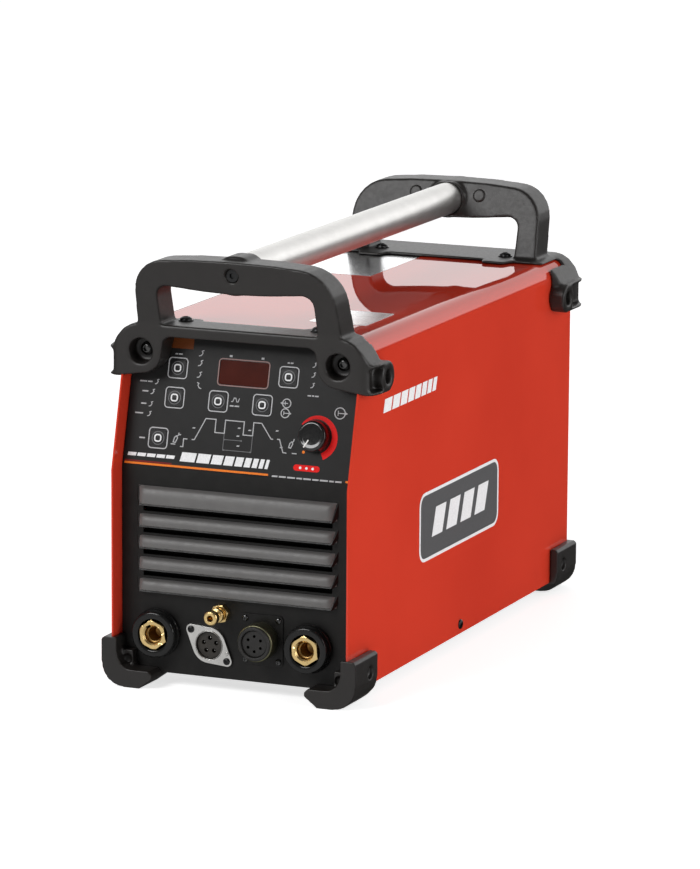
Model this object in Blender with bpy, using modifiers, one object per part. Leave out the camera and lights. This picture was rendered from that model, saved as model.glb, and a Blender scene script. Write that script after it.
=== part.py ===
"""TIG welding power source, built as separate pieces.

Metres, +Z up.  The front faces -Y, the right side +X, and the origin lies on the floor under
the middle of the machine.  The outer case is a red sheet sleeve, open at both ends, around a
black chassis; moulded handles with a tube between them guard the top, moulded feet the bottom.
"""

import math

import bmesh
import bpy
from mathutils import Matrix

# ---- driving dimensions -------------------------------------------------------------------
GAP = 0.0003                    # clearance between neighbouring pieces

CASE_WIDTH = 0.210
CASE_DEPTH = 0.500
CASE_TOP = 0.297
CASE_BOTTOM = 0.011             # height of the case above the floor
CASE_FILLET = 0.015
SHEET = 0.0015
FRONT = -0.248                  # front edges of the sleeve's sides
BACK = FRONT + CASE_DEPTH
KINK = 0.180                    # the front leans back above this height
LEAN = math.radians(14.27)
RECESS = 0.017                  # the end panels lie this far inside the sleeve
PANEL_WALL = 0.0025
PANEL_RIM = 0.030
PANEL_HALF = CASE_WIDTH / 2 - SHEET - GAP

LOUVRE_HALF = 0.087
LOUVRE_COUNT = 5
LOUVRE_PITCH = 0.0180
LOUVRE_FIRST_EDGE = 0.1504      # lower edge of the highest louvre
LOUVRE_FIRST_HEIGHT = 0.0158
LOUVRE_HEIGHT = 0.0120
LOUVRE_REACH = 0.0056

KEY_CAP = 0.0140
KEY_TRAVEL = 0.0008
KEYS = {                        # x and distance up the slope of each key's centre
    "key_process": (-0.0620, 0.0840),
    "key_trigger": (-0.0622, 0.0597),
    "key_pulse": (-0.0233, 0.0597),
    "key_remote": (0.0158, 0.0597),
    "key_memory": (0.0365, 0.0840),
    "key_select": (-0.0732, 0.0258),
}
DISPLAY = (-0.0034, 0.0839)
DISPLAY_SIZE = (0.0430, 0.0200)
KNOB = (0.0651, 0.0380)
KNOB_RADIUS = 0.0148
BOARD_FACE = -0.0130            # front face of the control board, below the slope's surface

SOCKETS = {"left": (-0.0710, 0.0440), "right": (0.0645, 0.0440)}
COLLAR_RADIUS = 0.0205
INSERT_RADIUS = 0.0120
SIGNAL_SOCKET = (-0.0240, 0.0383)
SIGNAL_TURN = math.radians(-37.0)
REMOTE_SOCKET = (0.0227, 0.0470)
GAS_OUTLET = (-0.0135, 0.0660)

HANDLE_HALF = 0.0884            # outer half width of a handle's loop
HANDLE_POST = 0.0194
HANDLE_TOP = {"front": 0.3585, "rear": 0.362}
HANDLE_CORNER = 0.030
HANDLE_DEPTH = 0.030
HANDLE_SHEAR = 0.32             # the loops lean outwards by this much per unit of height
GRIP_HEIGHT = 0.346
GRIP_UNDERSIDE = 0.330
GRIP_INSET = 0.0185             # the grip's middle lies this far inside the sleeve's end
FLANGE_TOP = 0.2998
BUMPER_BOTTOM = 0.2900
BUMPER_HALF = 0.1140
POD = (0.087, 0.277)            # x and z of the fixing recess in each bumper end
POD_RADIUS = 0.0185
BUMPER_FRONT = 0.0175           # how far inside the sleeve's lower front edge the bumper starts
LUG_HEIGHT = 0.2670
LUG_RADIUS = 0.0127
LUG_FACE = 0.1195
FIN = 0.0028                    # thickness of the two lips that frame a lug
TAB_X = 0.0585

TUBE_RADIUS = 0.0140
TUBE_WALL = 0.0020
TUBE_HEIGHT = 0.3465
TUBE_INSET = 0.0140

FOOT_HALF = 0.113
FOOT_HEIGHT = 0.041
FOOT_LENGTH = 0.047
FOOT_REACH = 0.003              # how far a foot stands proud of the sleeve's end
FOOT_CORNER = 0.020

FAN = (0.0, 0.1080)
FAN_SIZE = 0.120
FAN_DEPTH = 0.038
FAN_BORE = 0.056
SWITCH = (0.052, 0.2180)
GLAND = (-0.058, 0.2150)
GAS_INLET = (-0.016, 0.2150)

ROCKER_AXLE = 0.0005

FLOOR = CASE_BOTTOM + GAP + SHEET + GAP
VALVE = (0.070, FRONT + 0.395, 0.215)

TOP_SCREW_INSET = {"front": 0.0447, "rear": 0.0406}
SIDE_SCREW = (FRONT + 0.244, 0.0193)

STEPS = 32


# ---- scene and object helpers -------------------------------------------------------------
def clear_scene():
    for item in list(bpy.data.objects):
        bpy.data.objects.remove(item, do_unlink=True)


def new_collection(name):
    collection = bpy.data.collections.new(name)
    bpy.context.scene.collection.children.link(collection)
    return collection


def new_object(name, mesh):
    item = bpy.data.objects.new(name, mesh)
    PARTS.objects.link(item)
    return item


def new_frame(name, matrix):
    frame = bpy.data.objects.new(name, None)
    frame.matrix_world = matrix
    PARTS.objects.link(frame)
    return frame


def place(item, frame, u=0.0, v=0.0, w=0.0):
    item.parent = frame
    item.location = (u, v, w)
    return item


def paint(item, colour, roughness, metallic=0.0):
    material = bpy.data.materials.new(item.name)
    material.use_nodes = True
    shader = material.node_tree.nodes["Principled BSDF"]
    shader.inputs["Base Color"].default_value = (*colour, 1.0)
    shader.inputs["Roughness"].default_value = roughness
    shader.inputs["Metallic"].default_value = metallic
    item.data.materials.clear()
    item.data.materials.append(material)
    return item


def bake(item):
    bpy.context.view_layer.update()
    depsgraph = bpy.context.evaluated_depsgraph_get()
    mesh = bpy.data.meshes.new_from_object(item.evaluated_get(depsgraph))
    item.modifiers.clear()
    item.data = mesh
    return item


def combine(item, tools, operation):
    for tool in tools:
        boolean = item.modifiers.new(operation, "BOOLEAN")
        boolean.operation = operation
        boolean.object = tool
        bake(item)
        bpy.data.objects.remove(tool, do_unlink=True)
    return item


def cut(item, *tools):
    return combine(item, tools, "DIFFERENCE")


def join(item, *tools):
    return combine(item, tools, "UNION")


def keep_inside(item, tool):
    return combine(item, [tool], "INTERSECT")


def round_edges(item, width, segments=2, angle=40.0):
    bevel = item.modifiers.new("round", "BEVEL")
    bevel.width = width
    bevel.segments = segments
    bevel.limit_method = "ANGLE"
    bevel.angle_limit = math.radians(angle)
    return bake(item)


def smooth(item, angle=35.0):
    item.data.shade_smooth()
    item.data.set_sharp_from_angle(angle=math.radians(angle))
    return item


def from_bmesh(name, shape):
    bmesh.ops.recalc_face_normals(shape, faces=shape.faces)
    mesh = bpy.data.meshes.new(name)
    shape.to_mesh(mesh)
    shape.free()
    return new_object(name, mesh)


# ---- outlines -----------------------------------------------------------------------------
def arc(cx, cy, radius, start, end, steps):
    points = []
    for step in range(steps + 1):
        angle = math.radians(start + (end - start) * step / steps)
        points.append((cx + radius * math.cos(angle), cy + radius * math.sin(angle)))
    return points


def circle(radius, steps=STEPS, cx=0.0, cy=0.0, turn=0.0):
    return arc(cx, cy, radius, turn, turn + 360.0 * (steps - 1) / steps, steps - 1)


def rounded(width, height, radius, cx=0.0, cy=0.0, steps=3):
    right = cx + width / 2 - radius
    left = cx - width / 2 + radius
    top = cy + height / 2 - radius
    bottom = cy - height / 2 + radius
    return (arc(right, bottom, radius, -90, 0, steps) + arc(right, top, radius, 0, 90, steps)
            + arc(left, top, radius, 90, 180, steps) + arc(left, bottom, radius, 180, 270, steps))


def both_sides(half):
    """A half outline from the middle line's foot to its head, completed by its mirror image."""
    other = [(-x, y) for x, y in reversed(half) if x > 1e-6]
    return half + other


# ---- solids -------------------------------------------------------------------------------
VIEWS = {
    "plan": Matrix.Identity(4),
    "front": Matrix(((1, 0, 0, 0), (0, 0, -1, 0), (0, 1, 0, 0), (0, 0, 0, 1))),
    "side": Matrix(((0, 0, 1, 0), (1, 0, 0, 0), (0, 1, 0, 0), (0, 0, 0, 1))),
}


def welded(name, curve):
    """A curve made a mesh object, its caps joined to its sides."""
    source = new_object(name + "_curve", curve)
    bpy.context.view_layer.update()
    depsgraph = bpy.context.evaluated_depsgraph_get()
    mesh = bpy.data.meshes.new_from_object(source.evaluated_get(depsgraph))
    bpy.data.objects.remove(source, do_unlink=True)
    shape = bmesh.new()
    shape.from_mesh(mesh)
    bmesh.ops.remove_doubles(shape, verts=shape.verts, dist=0.00001)
    return from_bmesh(name, shape)


def plate(name, outlines, low, high):
    """Outlines in the XY plane (the first solid, the rest holes) from z = low to z = high."""
    curve = bpy.data.curves.new(name, "CURVE")
    curve.dimensions = "2D"
    curve.fill_mode = "BOTH"
    curve.extrude = (high - low) / 2
    for points in outlines:
        spline = curve.splines.new("POLY")
        spline.points.add(len(points) - 1)
        for point, (x, y) in zip(spline.points, points):
            point.co = (x, y, 0.0, 1.0)
        spline.use_cyclic_u = True
    item = welded(name, curve)
    item.data.transform(Matrix.Translation((0.0, 0.0, (high + low) / 2)))
    return item


def prism(name, outline, view, low, high):
    """An outline swept along y (front view), z (plan view) or x (side view)."""
    if view == "front":
        low, high = -high, -low
    item = plate(name, [outline], low, high)
    item.data.transform(VIEWS[view])
    return item


def box(name, x, y, z):
    shape = bmesh.new()
    bmesh.ops.create_cube(shape, size=1.0)
    size = Matrix.Diagonal((x[1] - x[0], y[1] - y[0], z[1] - z[0], 1.0))
    middle = Matrix.Translation(((x[0] + x[1]) / 2, (y[0] + y[1]) / 2, (z[0] + z[1]) / 2))
    bmesh.ops.transform(shape, matrix=middle @ size, verts=shape.verts)
    return from_bmesh(name, shape)


def rod(name, radius, low, high, u=0.0, v=0.0, view="plan", sides=STEPS, top=None, turn=0.0):
    """A cylinder or cone along a view's depth, centred at (u, v) of that view."""
    if view == "front":
        low, high = -high, -low
    shape = bmesh.new()
    bmesh.ops.create_cone(shape, cap_ends=True, segments=sides, radius1=radius,
                          radius2=radius if top is None else top, depth=high - low)
    spot = Matrix.Translation((u, v, (low + high) / 2)) @ Matrix.Rotation(turn, 4, "Z")
    bmesh.ops.transform(shape, matrix=VIEWS[view] @ spot, verts=shape.verts)
    return from_bmesh(name, shape)


def turned(name, profile, steps=STEPS, closed=False):
    """A profile of (radius, z) points, running down the outer side, turned about Z."""
    edges = [(index, index + 1) for index in range(len(profile) - 1)]
    if closed:
        edges.append((len(profile) - 1, 0))
    mesh = bpy.data.meshes.new(name)
    mesh.from_pydata([(radius, 0.0, z) for radius, z in profile], edges, [])
    item = new_object(name, mesh)
    screw = item.modifiers.new("turn", "SCREW")
    screw.axis = "Z"
    screw.angle = 2 * math.pi
    screw.steps = steps
    screw.render_steps = steps
    screw.use_merge_vertices = True
    screw.merge_threshold = 0.00001
    bake(item)
    shape = bmesh.new()
    shape.from_mesh(item.data)
    bmesh.ops.recalc_face_normals(shape, faces=shape.faces)
    shape.to_mesh(item.data)
    shape.free()
    return item


def wire(name, points, radius, resolution=2):
    """A round tube through the points, as a welded mesh."""
    curve = bpy.data.curves.new(name, "CURVE")
    curve.dimensions = "3D"
    curve.bevel_depth = radius
    curve.bevel_resolution = resolution
    curve.use_fill_caps = True
    spline = curve.splines.new("POLY")
    spline.points.add(len(points) - 1)
    for point, position in zip(spline.points, points):
        point.co = (*position, 1.0)
    return welded(name, curve)


def smooth_route(corners, steps):
    """Points along a Catmull-Rom curve through the corners."""
    padded = [corners[0]] + list(corners) + [corners[-1]]
    points = []
    for index in range(len(corners) - 1):
        p0, p1, p2, p3 = padded[index:index + 4]
        for step in range(steps):
            t = step / steps
            point = []
            for a, b, c, d in zip(p0, p1, p2, p3):
                cubic = (2 * b + (c - a) * t + (2 * a - 5 * b + 4 * c - d) * t ** 2
                         + (3 * b - a - 3 * c + d) * t ** 3) / 2
                point.append(cubic)
            points.append(tuple(point))
    points.append(tuple(corners[-1]))
    return points


def mirror_mesh(item, x=1, y=1):
    item.data.transform(Matrix.Diagonal((x, y, 1, 1)))
    if x * y < 0:
        item.data.flip_normals()
    return item


# ---- colours ------------------------------------------------------------------------------
RED = (0.55, 0.035, 0.015)
CHARCOAL = (0.055, 0.050, 0.048)
BLACK = (0.018, 0.018, 0.018)
PANEL_GREY = (0.035, 0.035, 0.037)
BRASS = (0.75, 0.53, 0.24)
STEEL = (0.60, 0.60, 0.60)
ALUMINIUM = (0.75, 0.75, 0.74)
BOARD_GREEN = (0.02, 0.14, 0.06)


def plastic(item, colour=BLACK, roughness=0.45):
    return paint(item, colour, roughness)


def metal(item, colour=STEEL, roughness=0.3):
    return paint(item, colour, roughness, 1.0)


# ---- case ---------------------------------------------------------------------------------
def slope_depth(height):
    """How far the sleeve's leaning front edge lies behind its lower edge at this height."""
    return max(0.0, (height - KINK) * math.tan(LEAN))


def case_half_outline(offset, bottom):
    half = CASE_WIDTH / 2 + offset
    fillet = CASE_FILLET + offset
    return [(half, bottom)] + arc(half - fillet, CASE_TOP + offset - fillet, fillet, 0, 90, 6)


def sleeve_band(name, outer, inner, bottom, front, back):
    """The bent sheet's U, thickened by outer outwards and inner inwards."""
    outside = case_half_outline(outer, bottom)
    inside = case_half_outline(-inner, bottom)
    ring = outside + [(-x, z) for x, z in reversed(outside)]
    ring += [(-x, z) for x, z in inside] + list(reversed(inside))
    return prism(name, ring, "front", front, back)


def interior(inset):
    """The room inside the sleeve, shrunk by an inset."""
    half = case_half_outline(-(SHEET + GAP + inset), 0.0)
    outline = both_sides([(0.0, 0.0)] + half + [(0.0, half[-1][1])])
    return prism("interior", outline, "front", FRONT - 0.05, BACK + 0.05)


def lean_wedge():
    """Everything in front of the leaning plane that starts at the kink."""
    reach = 0.140
    rise = reach * math.tan(LEAN)
    points = [(FRONT - 0.03, KINK), (FRONT, KINK), (FRONT + rise, KINK + reach),
              (FRONT - 0.03, KINK + reach)]
    return prism("wedge", points, "side", -0.16, 0.16)


def screws(item, y):
    """Clearance holes for the pair of top screws at this depth."""
    for side in (-1, 1):
        cut(item, rod("hole", 0.0030, 0.28, 0.31, side * TAB_X, y, sides=12))


def cover():
    item = sleeve_band("cover", 0.0, SHEET, CASE_BOTTOM, FRONT, BACK)
    cut(item, lean_wedge())
    screws(item, FRONT + TOP_SCREW_INSET["front"])
    screws(item, BACK - TOP_SCREW_INSET["rear"])
    for side in (-1, 1):
        wall = sorted((side * 0.09, side * 0.12))
        cut(item, rod("hole", 0.0026, *wall, *SIDE_SCREW, view="side", sides=12))
    return paint(smooth(item), RED, 0.12)


def base_tray():
    half = PANEL_HALF
    floor = CASE_BOTTOM + GAP
    rim = 0.036
    outline = [(half, rim), (half - SHEET, rim), (half - SHEET, floor + SHEET),
               (SHEET - half, floor + SHEET), (SHEET - half, rim), (-half, rim),
               (-half, floor), (half, floor)]
    front = FRONT + RECESS + PANEL_RIM + GAP
    item = prism("base_tray", outline, "front", front, -front + FRONT + BACK)
    for row in range(6):
        slot = rounded(0.110, 0.007, 0.003, 0.0, FRONT + 0.12 + 0.05 * row, 1)
        cut(item, prism("slot", slot, "plan", 0.0, 0.02))
    for side in (-1, 1):
        wall = sorted((side * 0.09, side * 0.12))
        cut(item, rod("hole", 0.0026, *wall, *SIDE_SCREW, view="side", sides=12))
    return metal(item, (0.35, 0.35, 0.36), 0.45)


def pan_profile(inset):
    """Side view of the front panel's body, or of its hollow when inset by the wall."""
    face = FRONT + RECESS + inset
    rear = FRONT + RECESS + PANEL_RIM + (0.05 if inset else 0.0)
    low = CASE_BOTTOM + inset
    high = CASE_TOP
    bend = KINK - inset * math.tan(LEAN / 2)
    rise = (high - bend) * math.tan(LEAN)
    return [(face, low), (rear, low), (rear, bend), (rear + rise, high), (face + rise, high),
            (face, bend)]


def louvre_edges():
    edges = []
    for index in range(LOUVRE_COUNT):
        low = LOUVRE_FIRST_EDGE - index * LOUVRE_PITCH
        height = LOUVRE_HEIGHT if index else LOUVRE_FIRST_HEIGHT
        edges.append((low, low + height))
    return edges


def louvre_hood(low, high):
    """A slat whose lower lip stands proud of the panel and whose ends ramp back to it."""
    face = FRONT + RECESS
    lip = face - LOUVRE_REACH
    section = [(face, high), (lip + 0.0006, low + 0.0012), (lip, low), (lip + 0.002, low),
               (face + 0.0015, low + 0.0070), (face + 0.0015, high)]
    item = prism("hood", section, "side", -LOUVRE_HALF - 0.003, LOUVRE_HALF + 0.003)
    ends = [(LOUVRE_HALF + 0.0024, face), (LOUVRE_HALF - 0.0026, lip - 0.001),
            (LOUVRE_HALF + 0.006, lip - 0.001), (LOUVRE_HALF + 0.006, face + 0.004),
            (LOUVRE_HALF + 0.0024, face + 0.004)]
    for side in (-1, 1):
        outline = [(side * x, y) for x, y in ends]
        cut(item, prism("ramp", outline, "plan", low - 0.01, high + 0.01))
    return item


def front_panel():
    item = prism("front_panel", pan_profile(0.0), "side", -CASE_WIDTH / 2, CASE_WIDTH / 2)
    keep_inside(item, interior(0.0))
    hollow = prism("hollow", pan_profile(PANEL_WALL), "side", -CASE_WIDTH / 2, CASE_WIDTH / 2)
    cut(item, keep_inside(hollow, interior(PANEL_WALL)))
    face = FRONT + RECESS
    for low, _ in louvre_edges()[:-1]:
        slot = (low - 0.0055, low + 0.0010)
        cut(item, box("slot", (-LOUVRE_HALF + 0.003, LOUVRE_HALF - 0.003),
                      (face - 0.005, face + 0.006), slot))
    for low, high in louvre_edges():
        join(item, louvre_hood(low, high))
    screws(item, FRONT + TOP_SCREW_INSET["front"])
    for u, v in SOCKETS.values():
        cut(item, place(rod("hole", 0.0150, -0.006, 0.006, sides=24), LOWER, u, v))
    cut(item, place(rod("hole", 0.0130, -0.006, 0.006, sides=24), LOWER, *SIGNAL_SOCKET))
    cut(item, place(rod("hole", 0.0128, -0.006, 0.006, sides=24), LOWER, *REMOTE_SOCKET))
    cut(item, place(rod("hole", 0.0050, -0.006, 0.006, sides=16), LOWER, *GAS_OUTLET))
    for u, v in KEYS.values():
        hole = rounded(KEY_CAP + 2 * GAP, KEY_CAP + 2 * GAP, 0.0023, steps=2)
        cut(item, place(plate("hole", [hole], -0.006, 0.006), SLOPE, u, v))
    window = rounded(DISPLAY_SIZE[0] + 2 * GAP, DISPLAY_SIZE[1] + 2 * GAP, 0.0023, steps=2)
    cut(item, place(plate("hole", [window], -0.006, 0.006), SLOPE, *DISPLAY))
    cut(item, place(rod("hole", 0.0045, -0.006, 0.006, sides=16), SLOPE, *KNOB))
    return plastic(item, BLACK, 0.4)


def rear_panel():
    face = BACK - RECESS
    half = CASE_WIDTH / 2
    item = box("rear_panel", (-half, half), (face - PANEL_RIM, face), (CASE_BOTTOM, CASE_TOP))
    keep_inside(item, interior(0.0))
    hollow = box("hollow", (-half, half), (face - 0.05, face - PANEL_WALL),
                 (CASE_BOTTOM + PANEL_WALL, CASE_TOP))
    cut(item, keep_inside(hollow, interior(PANEL_WALL)))
    screws(item, BACK - TOP_SCREW_INSET["rear"])
    cut(item, place(rod("hole", FAN_BORE, -0.006, 0.006, sides=40), REAR, *FAN))
    switch = rounded(0.0224, 0.0324, 0.0003, steps=1)
    cut(item, place(plate("hole", [switch], -0.006, 0.006), REAR, *SWITCH))
    cut(item, place(rod("hole", 0.0105, -0.006, 0.006, sides=24), REAR, *GLAND))
    cut(item, place(rod("hole", 0.0055, -0.006, 0.006, sides=16), REAR, *GAS_INLET))
    return plastic(item, BLACK, 0.45)


# ---- control panel ------------------------------------------------------------------------
def overlay_outline():
    """The film's edge, with wide upper corners that follow the case's fillets."""
    half = 0.1020
    low = 0.0028
    high = 0.1120
    small = 0.0020
    wide = 0.0180
    return (arc(half - small, low + small, small, -90, 0, 2)
            + arc(half - wide, high - wide, wide, 0, 90, 5)
            + arc(wide - half, high - wide, wide, 90, 180, 5)
            + arc(small - half, low + small, small, 180, 270, 2))


def control_overlay():
    holes = [rounded(DISPLAY_SIZE[0] + 2 * GAP, DISPLAY_SIZE[1] + 2 * GAP, 0.0023, *DISPLAY, 2)]
    for u, v in KEYS.values():
        holes.append(rounded(KEY_CAP + 2 * GAP, KEY_CAP + 2 * GAP, 0.0023, u, v, 2))
    holes.append(circle(0.0048, 16, *KNOB))
    item = plate("control_overlay", [overlay_outline()] + holes, GAP, 0.0009)
    return plastic(place(item, SLOPE), PANEL_GREY, 0.35)


def display_window():
    sheet = rounded(*DISPLAY_SIZE, 0.002, steps=2)
    item = plate("display_window", [sheet], -0.0022, 0.0006)
    return plastic(place(item, SLOPE, *DISPLAY), (0.10, 0.008, 0.006), 0.08)


def display_module():
    item = box("display_module", (-0.0230, 0.0230), (-0.0118, 0.0118),
               (BOARD_FACE + GAP, -PANEL_WALL - GAP))
    return plastic(place(item, SLOPE, *DISPLAY), (0.02, 0.02, 0.02), 0.6)


def key_mesh():
    cap = rounded(KEY_CAP, KEY_CAP, 0.0020, steps=2)
    item = plate("key", [cap], -0.0036, 0.0012)
    join(item, plate("flange", [rounded(0.0172, 0.0172, 0.0015, steps=1)], -0.0039, -0.0028))
    join(item, rod("stem", 0.0020, -0.0090, -0.0034, sides=12))
    dome = [(0.0, 0.0017), (0.0035, 0.0015), (0.0050, 0.0009), (0.0, 0.0009)]
    join(item, turned("dome", dome, 12))
    mesh = item.data
    bpy.data.objects.remove(item, do_unlink=True)
    return mesh


def keys():
    mesh = key_mesh()
    for name, (u, v) in KEYS.items():
        item = new_object(name, mesh.copy())
        plastic(place(item, SLOPE, u, v), (0.02, 0.02, 0.02), 0.3)


def knob():
    r = KNOB_RADIUS
    profile = [(0.0, 0.0150), (r - 0.0030, 0.0150), (r - 0.0018, 0.0146), (r - 0.0012, 0.0138),
               (r - 0.0006, 0.0040), (r, 0.0030), (r, 0.0014), (0.0033, 0.0014),
               (0.0033, 0.0116), (0.0, 0.0116)]
    item = turned("knob", profile, 28)
    return plastic(smooth(place(item, SLOPE, *KNOB), 30), (0.012, 0.012, 0.012), 0.12)


def potentiometer():
    """A boxed potentiometer with a threaded bushing; its shaft turns in the bushing's bore."""
    item = box("potentiometer", (-0.0062, 0.0062), (-0.0066, 0.0066), (BOARD_FACE + GAP, -0.0060))
    join(item, rod("bushing", 0.0038, -0.0070, 0.0008, sides=20))
    cut(item, rod("bore", 0.0033, -0.0112, 0.0020, sides=20))
    return metal(place(item, SLOPE, *KNOB))


def knob_shaft():
    item = rod("knob_shaft", 0.0030, -0.0108, 0.0112, sides=20)
    return metal(place(item, SLOPE, *KNOB), ALUMINIUM)


def control_board():
    board = [rounded(0.1860, 0.0880, 0.002, 0.0, 0.0520, 1)]
    item = plate("control_board", board, BOARD_FACE - 0.0016, BOARD_FACE)
    for u, v in KEYS.values():
        block = box("contact", (u - 0.003, u + 0.003), (v - 0.003, v + 0.003),
                    (BOARD_FACE - 0.0008, -0.0101))
        join(item, block)
    for u in (-0.088, 0.088):
        for v in (0.014, 0.091):
            join(item, rod("post", 0.0030, BOARD_FACE - 0.0008, -PANEL_WALL - GAP, u, v, sides=12))
    return plastic(place(item, SLOPE), BOARD_GREEN, 0.4)


# ---- connectors on the lower front --------------------------------------------------------
def socket_collar(side):
    """Insulating collar of a weld-current socket: flange, nose and a spigot through the wall."""
    bore = INSERT_RADIUS + GAP
    profile = [(bore, 0.0110), (0.0178, 0.0110), (0.0192, 0.0102), (0.0198, 0.0086),
               (0.0198, 0.0044), (COLLAR_RADIUS, 0.0036), (COLLAR_RADIUS, GAP), (0.0147, GAP),
               (0.0147, -0.0140), (bore, -0.0140)]
    item = turned("socket_collar_" + side, profile, 24, closed=True)
    return plastic(smooth(place(item, LOWER, *SOCKETS[side])), (0.02, 0.02, 0.021), 0.25)


def socket_insert(side):
    """Brass bayonet socket: six-sided mouth, blind bore and the groove for the plug's key."""
    item = rod("socket_insert_" + side, 0.0105, -0.0240, 0.0098, sides=24)
    join(item, rod("mouth", INSERT_RADIUS, 0.0040, 0.0112, sides=6, turn=math.radians(30)))
    cut(item, rod("bore", 0.0068, -0.0150, 0.0150, sides=24))
    cut(item, rod("bevel", 0.0068, 0.0085, 0.0120, sides=24, top=0.0092))
    cut(item, box("groove", (-0.0022, 0.0022), (-0.0010, 0.0092), (-0.0040, 0.0150)))
    return metal(place(item, LOWER, *SOCKETS[side]), BRASS, 0.25)


def gas_outlet():
    """Brass quick connector: hose barb inside, nut on the wall, stem and bored nose."""
    profile = [(0.0022, 0.0240), (0.0050, 0.0240), (0.0056, 0.0232), (0.0056, 0.0170),
               (0.0036, 0.0158), (0.0036, 0.0125), (0.0062, 0.0118), (0.0062, 0.0090),
               (0.0046, 0.0078), (0.0046, -0.0030), (0.0036, -0.0040), (0.0036, -0.0090),
               (0.0042, -0.0100), (0.0030, -0.0150), (0.0022, -0.0150)]
    item = turned("gas_outlet", profile, 16, closed=True)
    nut = plate("nut", [circle(0.0080, 6), circle(0.0036, 8)], GAP, 0.0060)
    join(item, nut)
    return metal(place(item, LOWER, *GAS_OUTLET), BRASS, 0.2)


def signal_flange():
    """Diamond flange whose ears lie along one diagonal."""
    ear = 0.0200
    side = math.degrees(math.acos((0.0170 - 0.0052) / ear))
    outline = arc(ear, 0.0, 0.0052, -side, side, 6) + arc(0.0, 0.0, 0.0170, side, 180 - side, 8)
    outline += arc(-ear, 0.0, 0.0052, 180 - side, 180 + side, 6)
    outline += arc(0.0, 0.0, 0.0170, 180 + side, 360 - side, 8)
    holes = [circle(0.0126, 32), circle(0.0016, 12, ear), circle(0.0016, 12, -ear)]
    item = plate("signal_flange", [outline] + holes, GAP, 0.0028)
    place(item, LOWER, *SIGNAL_SOCKET)
    item.rotation_euler = (0.0, 0.0, SIGNAL_TURN)
    return metal(item, (0.70, 0.69, 0.67), 0.35)


def signal_insert():
    """Moulded cup of the five-pin socket, with its pins standing on the cup's floor."""
    profile = [(0.0, -0.0060), (0.0105, -0.0060), (0.0105, 0.0024), (0.0122, 0.0024),
               (0.0122, -0.0120), (0.0, -0.0120)]
    item = turned("signal_insert", profile, 24)
    for index in range(5):
        angle = math.radians(-90 + 72 * index)
        x = 0.0058 * math.cos(angle)
        y = 0.0058 * math.sin(angle)
        join(item, rod("pin", 0.0009, -0.0080, 0.0000, x, y, sides=8))
    return plastic(place(item, LOWER, *SIGNAL_SOCKET), (0.02, 0.018, 0.016), 0.4)


def remote_shell():
    """Square-flanged shell of the six-contact control socket."""
    holes = []
    for x in (-0.0147, 0.0147):
        for y in (-0.0172, 0.0172):
            holes.append(circle(0.0016, 8, x, y))
    flange = rounded(0.0370, 0.0420, 0.0030, steps=2)
    item = plate("remote_shell", [flange] + holes, GAP, 0.0030)
    join(item, rod("barrel", 0.0146, 0.0010, 0.0186, sides=28))
    cut(item, rod("bore", 0.0120, -0.0100, 0.0300, sides=28))
    return metal(place(item, LOWER, *REMOTE_SOCKET), (0.10, 0.10, 0.06), 0.45)


def remote_insert():
    item = rod("remote_insert", 0.0116, -0.0120, 0.0165, sides=24)
    for index in range(6):
        angle = math.radians(60 * index)
        x = 0.0060 * math.cos(angle)
        y = 0.0060 * math.sin(angle)
        cut(item, rod("contact", 0.0012, 0.0085, 0.0200, x, y, sides=8))
    return plastic(place(item, LOWER, *REMOTE_SOCKET), (0.015, 0.015, 0.015), 0.5)


# ---- handles ------------------------------------------------------------------------------
def loop_outline(top):
    """Front view of the grip and its two posts, which run down into the bumper."""
    root = 0.2920
    outer = HANDLE_HALF
    inner = HANDLE_HALF - HANDLE_POST
    shoulder = top - 0.0025
    half = [(inner, root), (outer + 0.002, root), (outer + 0.001, 0.3120)]
    half += arc(outer - HANDLE_CORNER, shoulder - HANDLE_CORNER, HANDLE_CORNER, 4, 84, 6)
    crown = [(outer - HANDLE_CORNER - 0.022, top - 0.0008), (0.0, top)]
    left = [(-x, z) for x, z in reversed(half)]
    outline = half + crown + [(-crown[0][0], crown[0][1])] + left
    window = arc(-inner + 0.009, GRIP_UNDERSIDE - 0.0052, 0.009, 180, 95, 3)
    window += [(-0.030, GRIP_UNDERSIDE + 0.0012), (0.0, GRIP_UNDERSIDE)]
    window += [(-x, z) for x, z in reversed(window[:-1])]
    return outline + window


def leaning_loop(top):
    item = prism("loop", loop_outline(top), "front", -HANDLE_DEPTH / 2, HANDLE_DEPTH / 2)
    round_edges(item, 0.0080, 2)
    shear = Matrix.Identity(4)
    shear[1][2] = -HANDLE_SHEAR
    shear[1][3] = HANDLE_SHEAR * GRIP_HEIGHT
    item.data.transform(shear)
    return item


def bumper_outline():
    """Front view of the bumper bar: flat between two pods with rounded shoulders."""
    x, z = POD
    low = LUG_HEIGHT - LUG_RADIUS + 0.0012
    half = [(0.0, BUMPER_BOTTOM), (x - POD_RADIUS - 0.006, BUMPER_BOTTOM)]
    half += [(x - POD_RADIUS - 0.0015, BUMPER_BOTTOM - 0.003)]
    half += arc(x, z, POD_RADIUS, 200, 270, 5)
    half += [(x + 0.012, low + 0.001), (BUMPER_HALF - 0.003, low), (BUMPER_HALF, low + 0.003)]
    half += [(BUMPER_HALF, FLANGE_TOP - 0.0205), (BUMPER_HALF - 0.0055, FLANGE_TOP - 0.0115)]
    half += [(BUMPER_HALF - 0.0120, FLANGE_TOP - 0.0045), (BUMPER_HALF - 0.0185, FLANGE_TOP - 0.001)]
    half += [(BUMPER_HALF - 0.0245, FLANGE_TOP), (0.0, FLANGE_TOP)]
    return both_sides(half)


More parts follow.
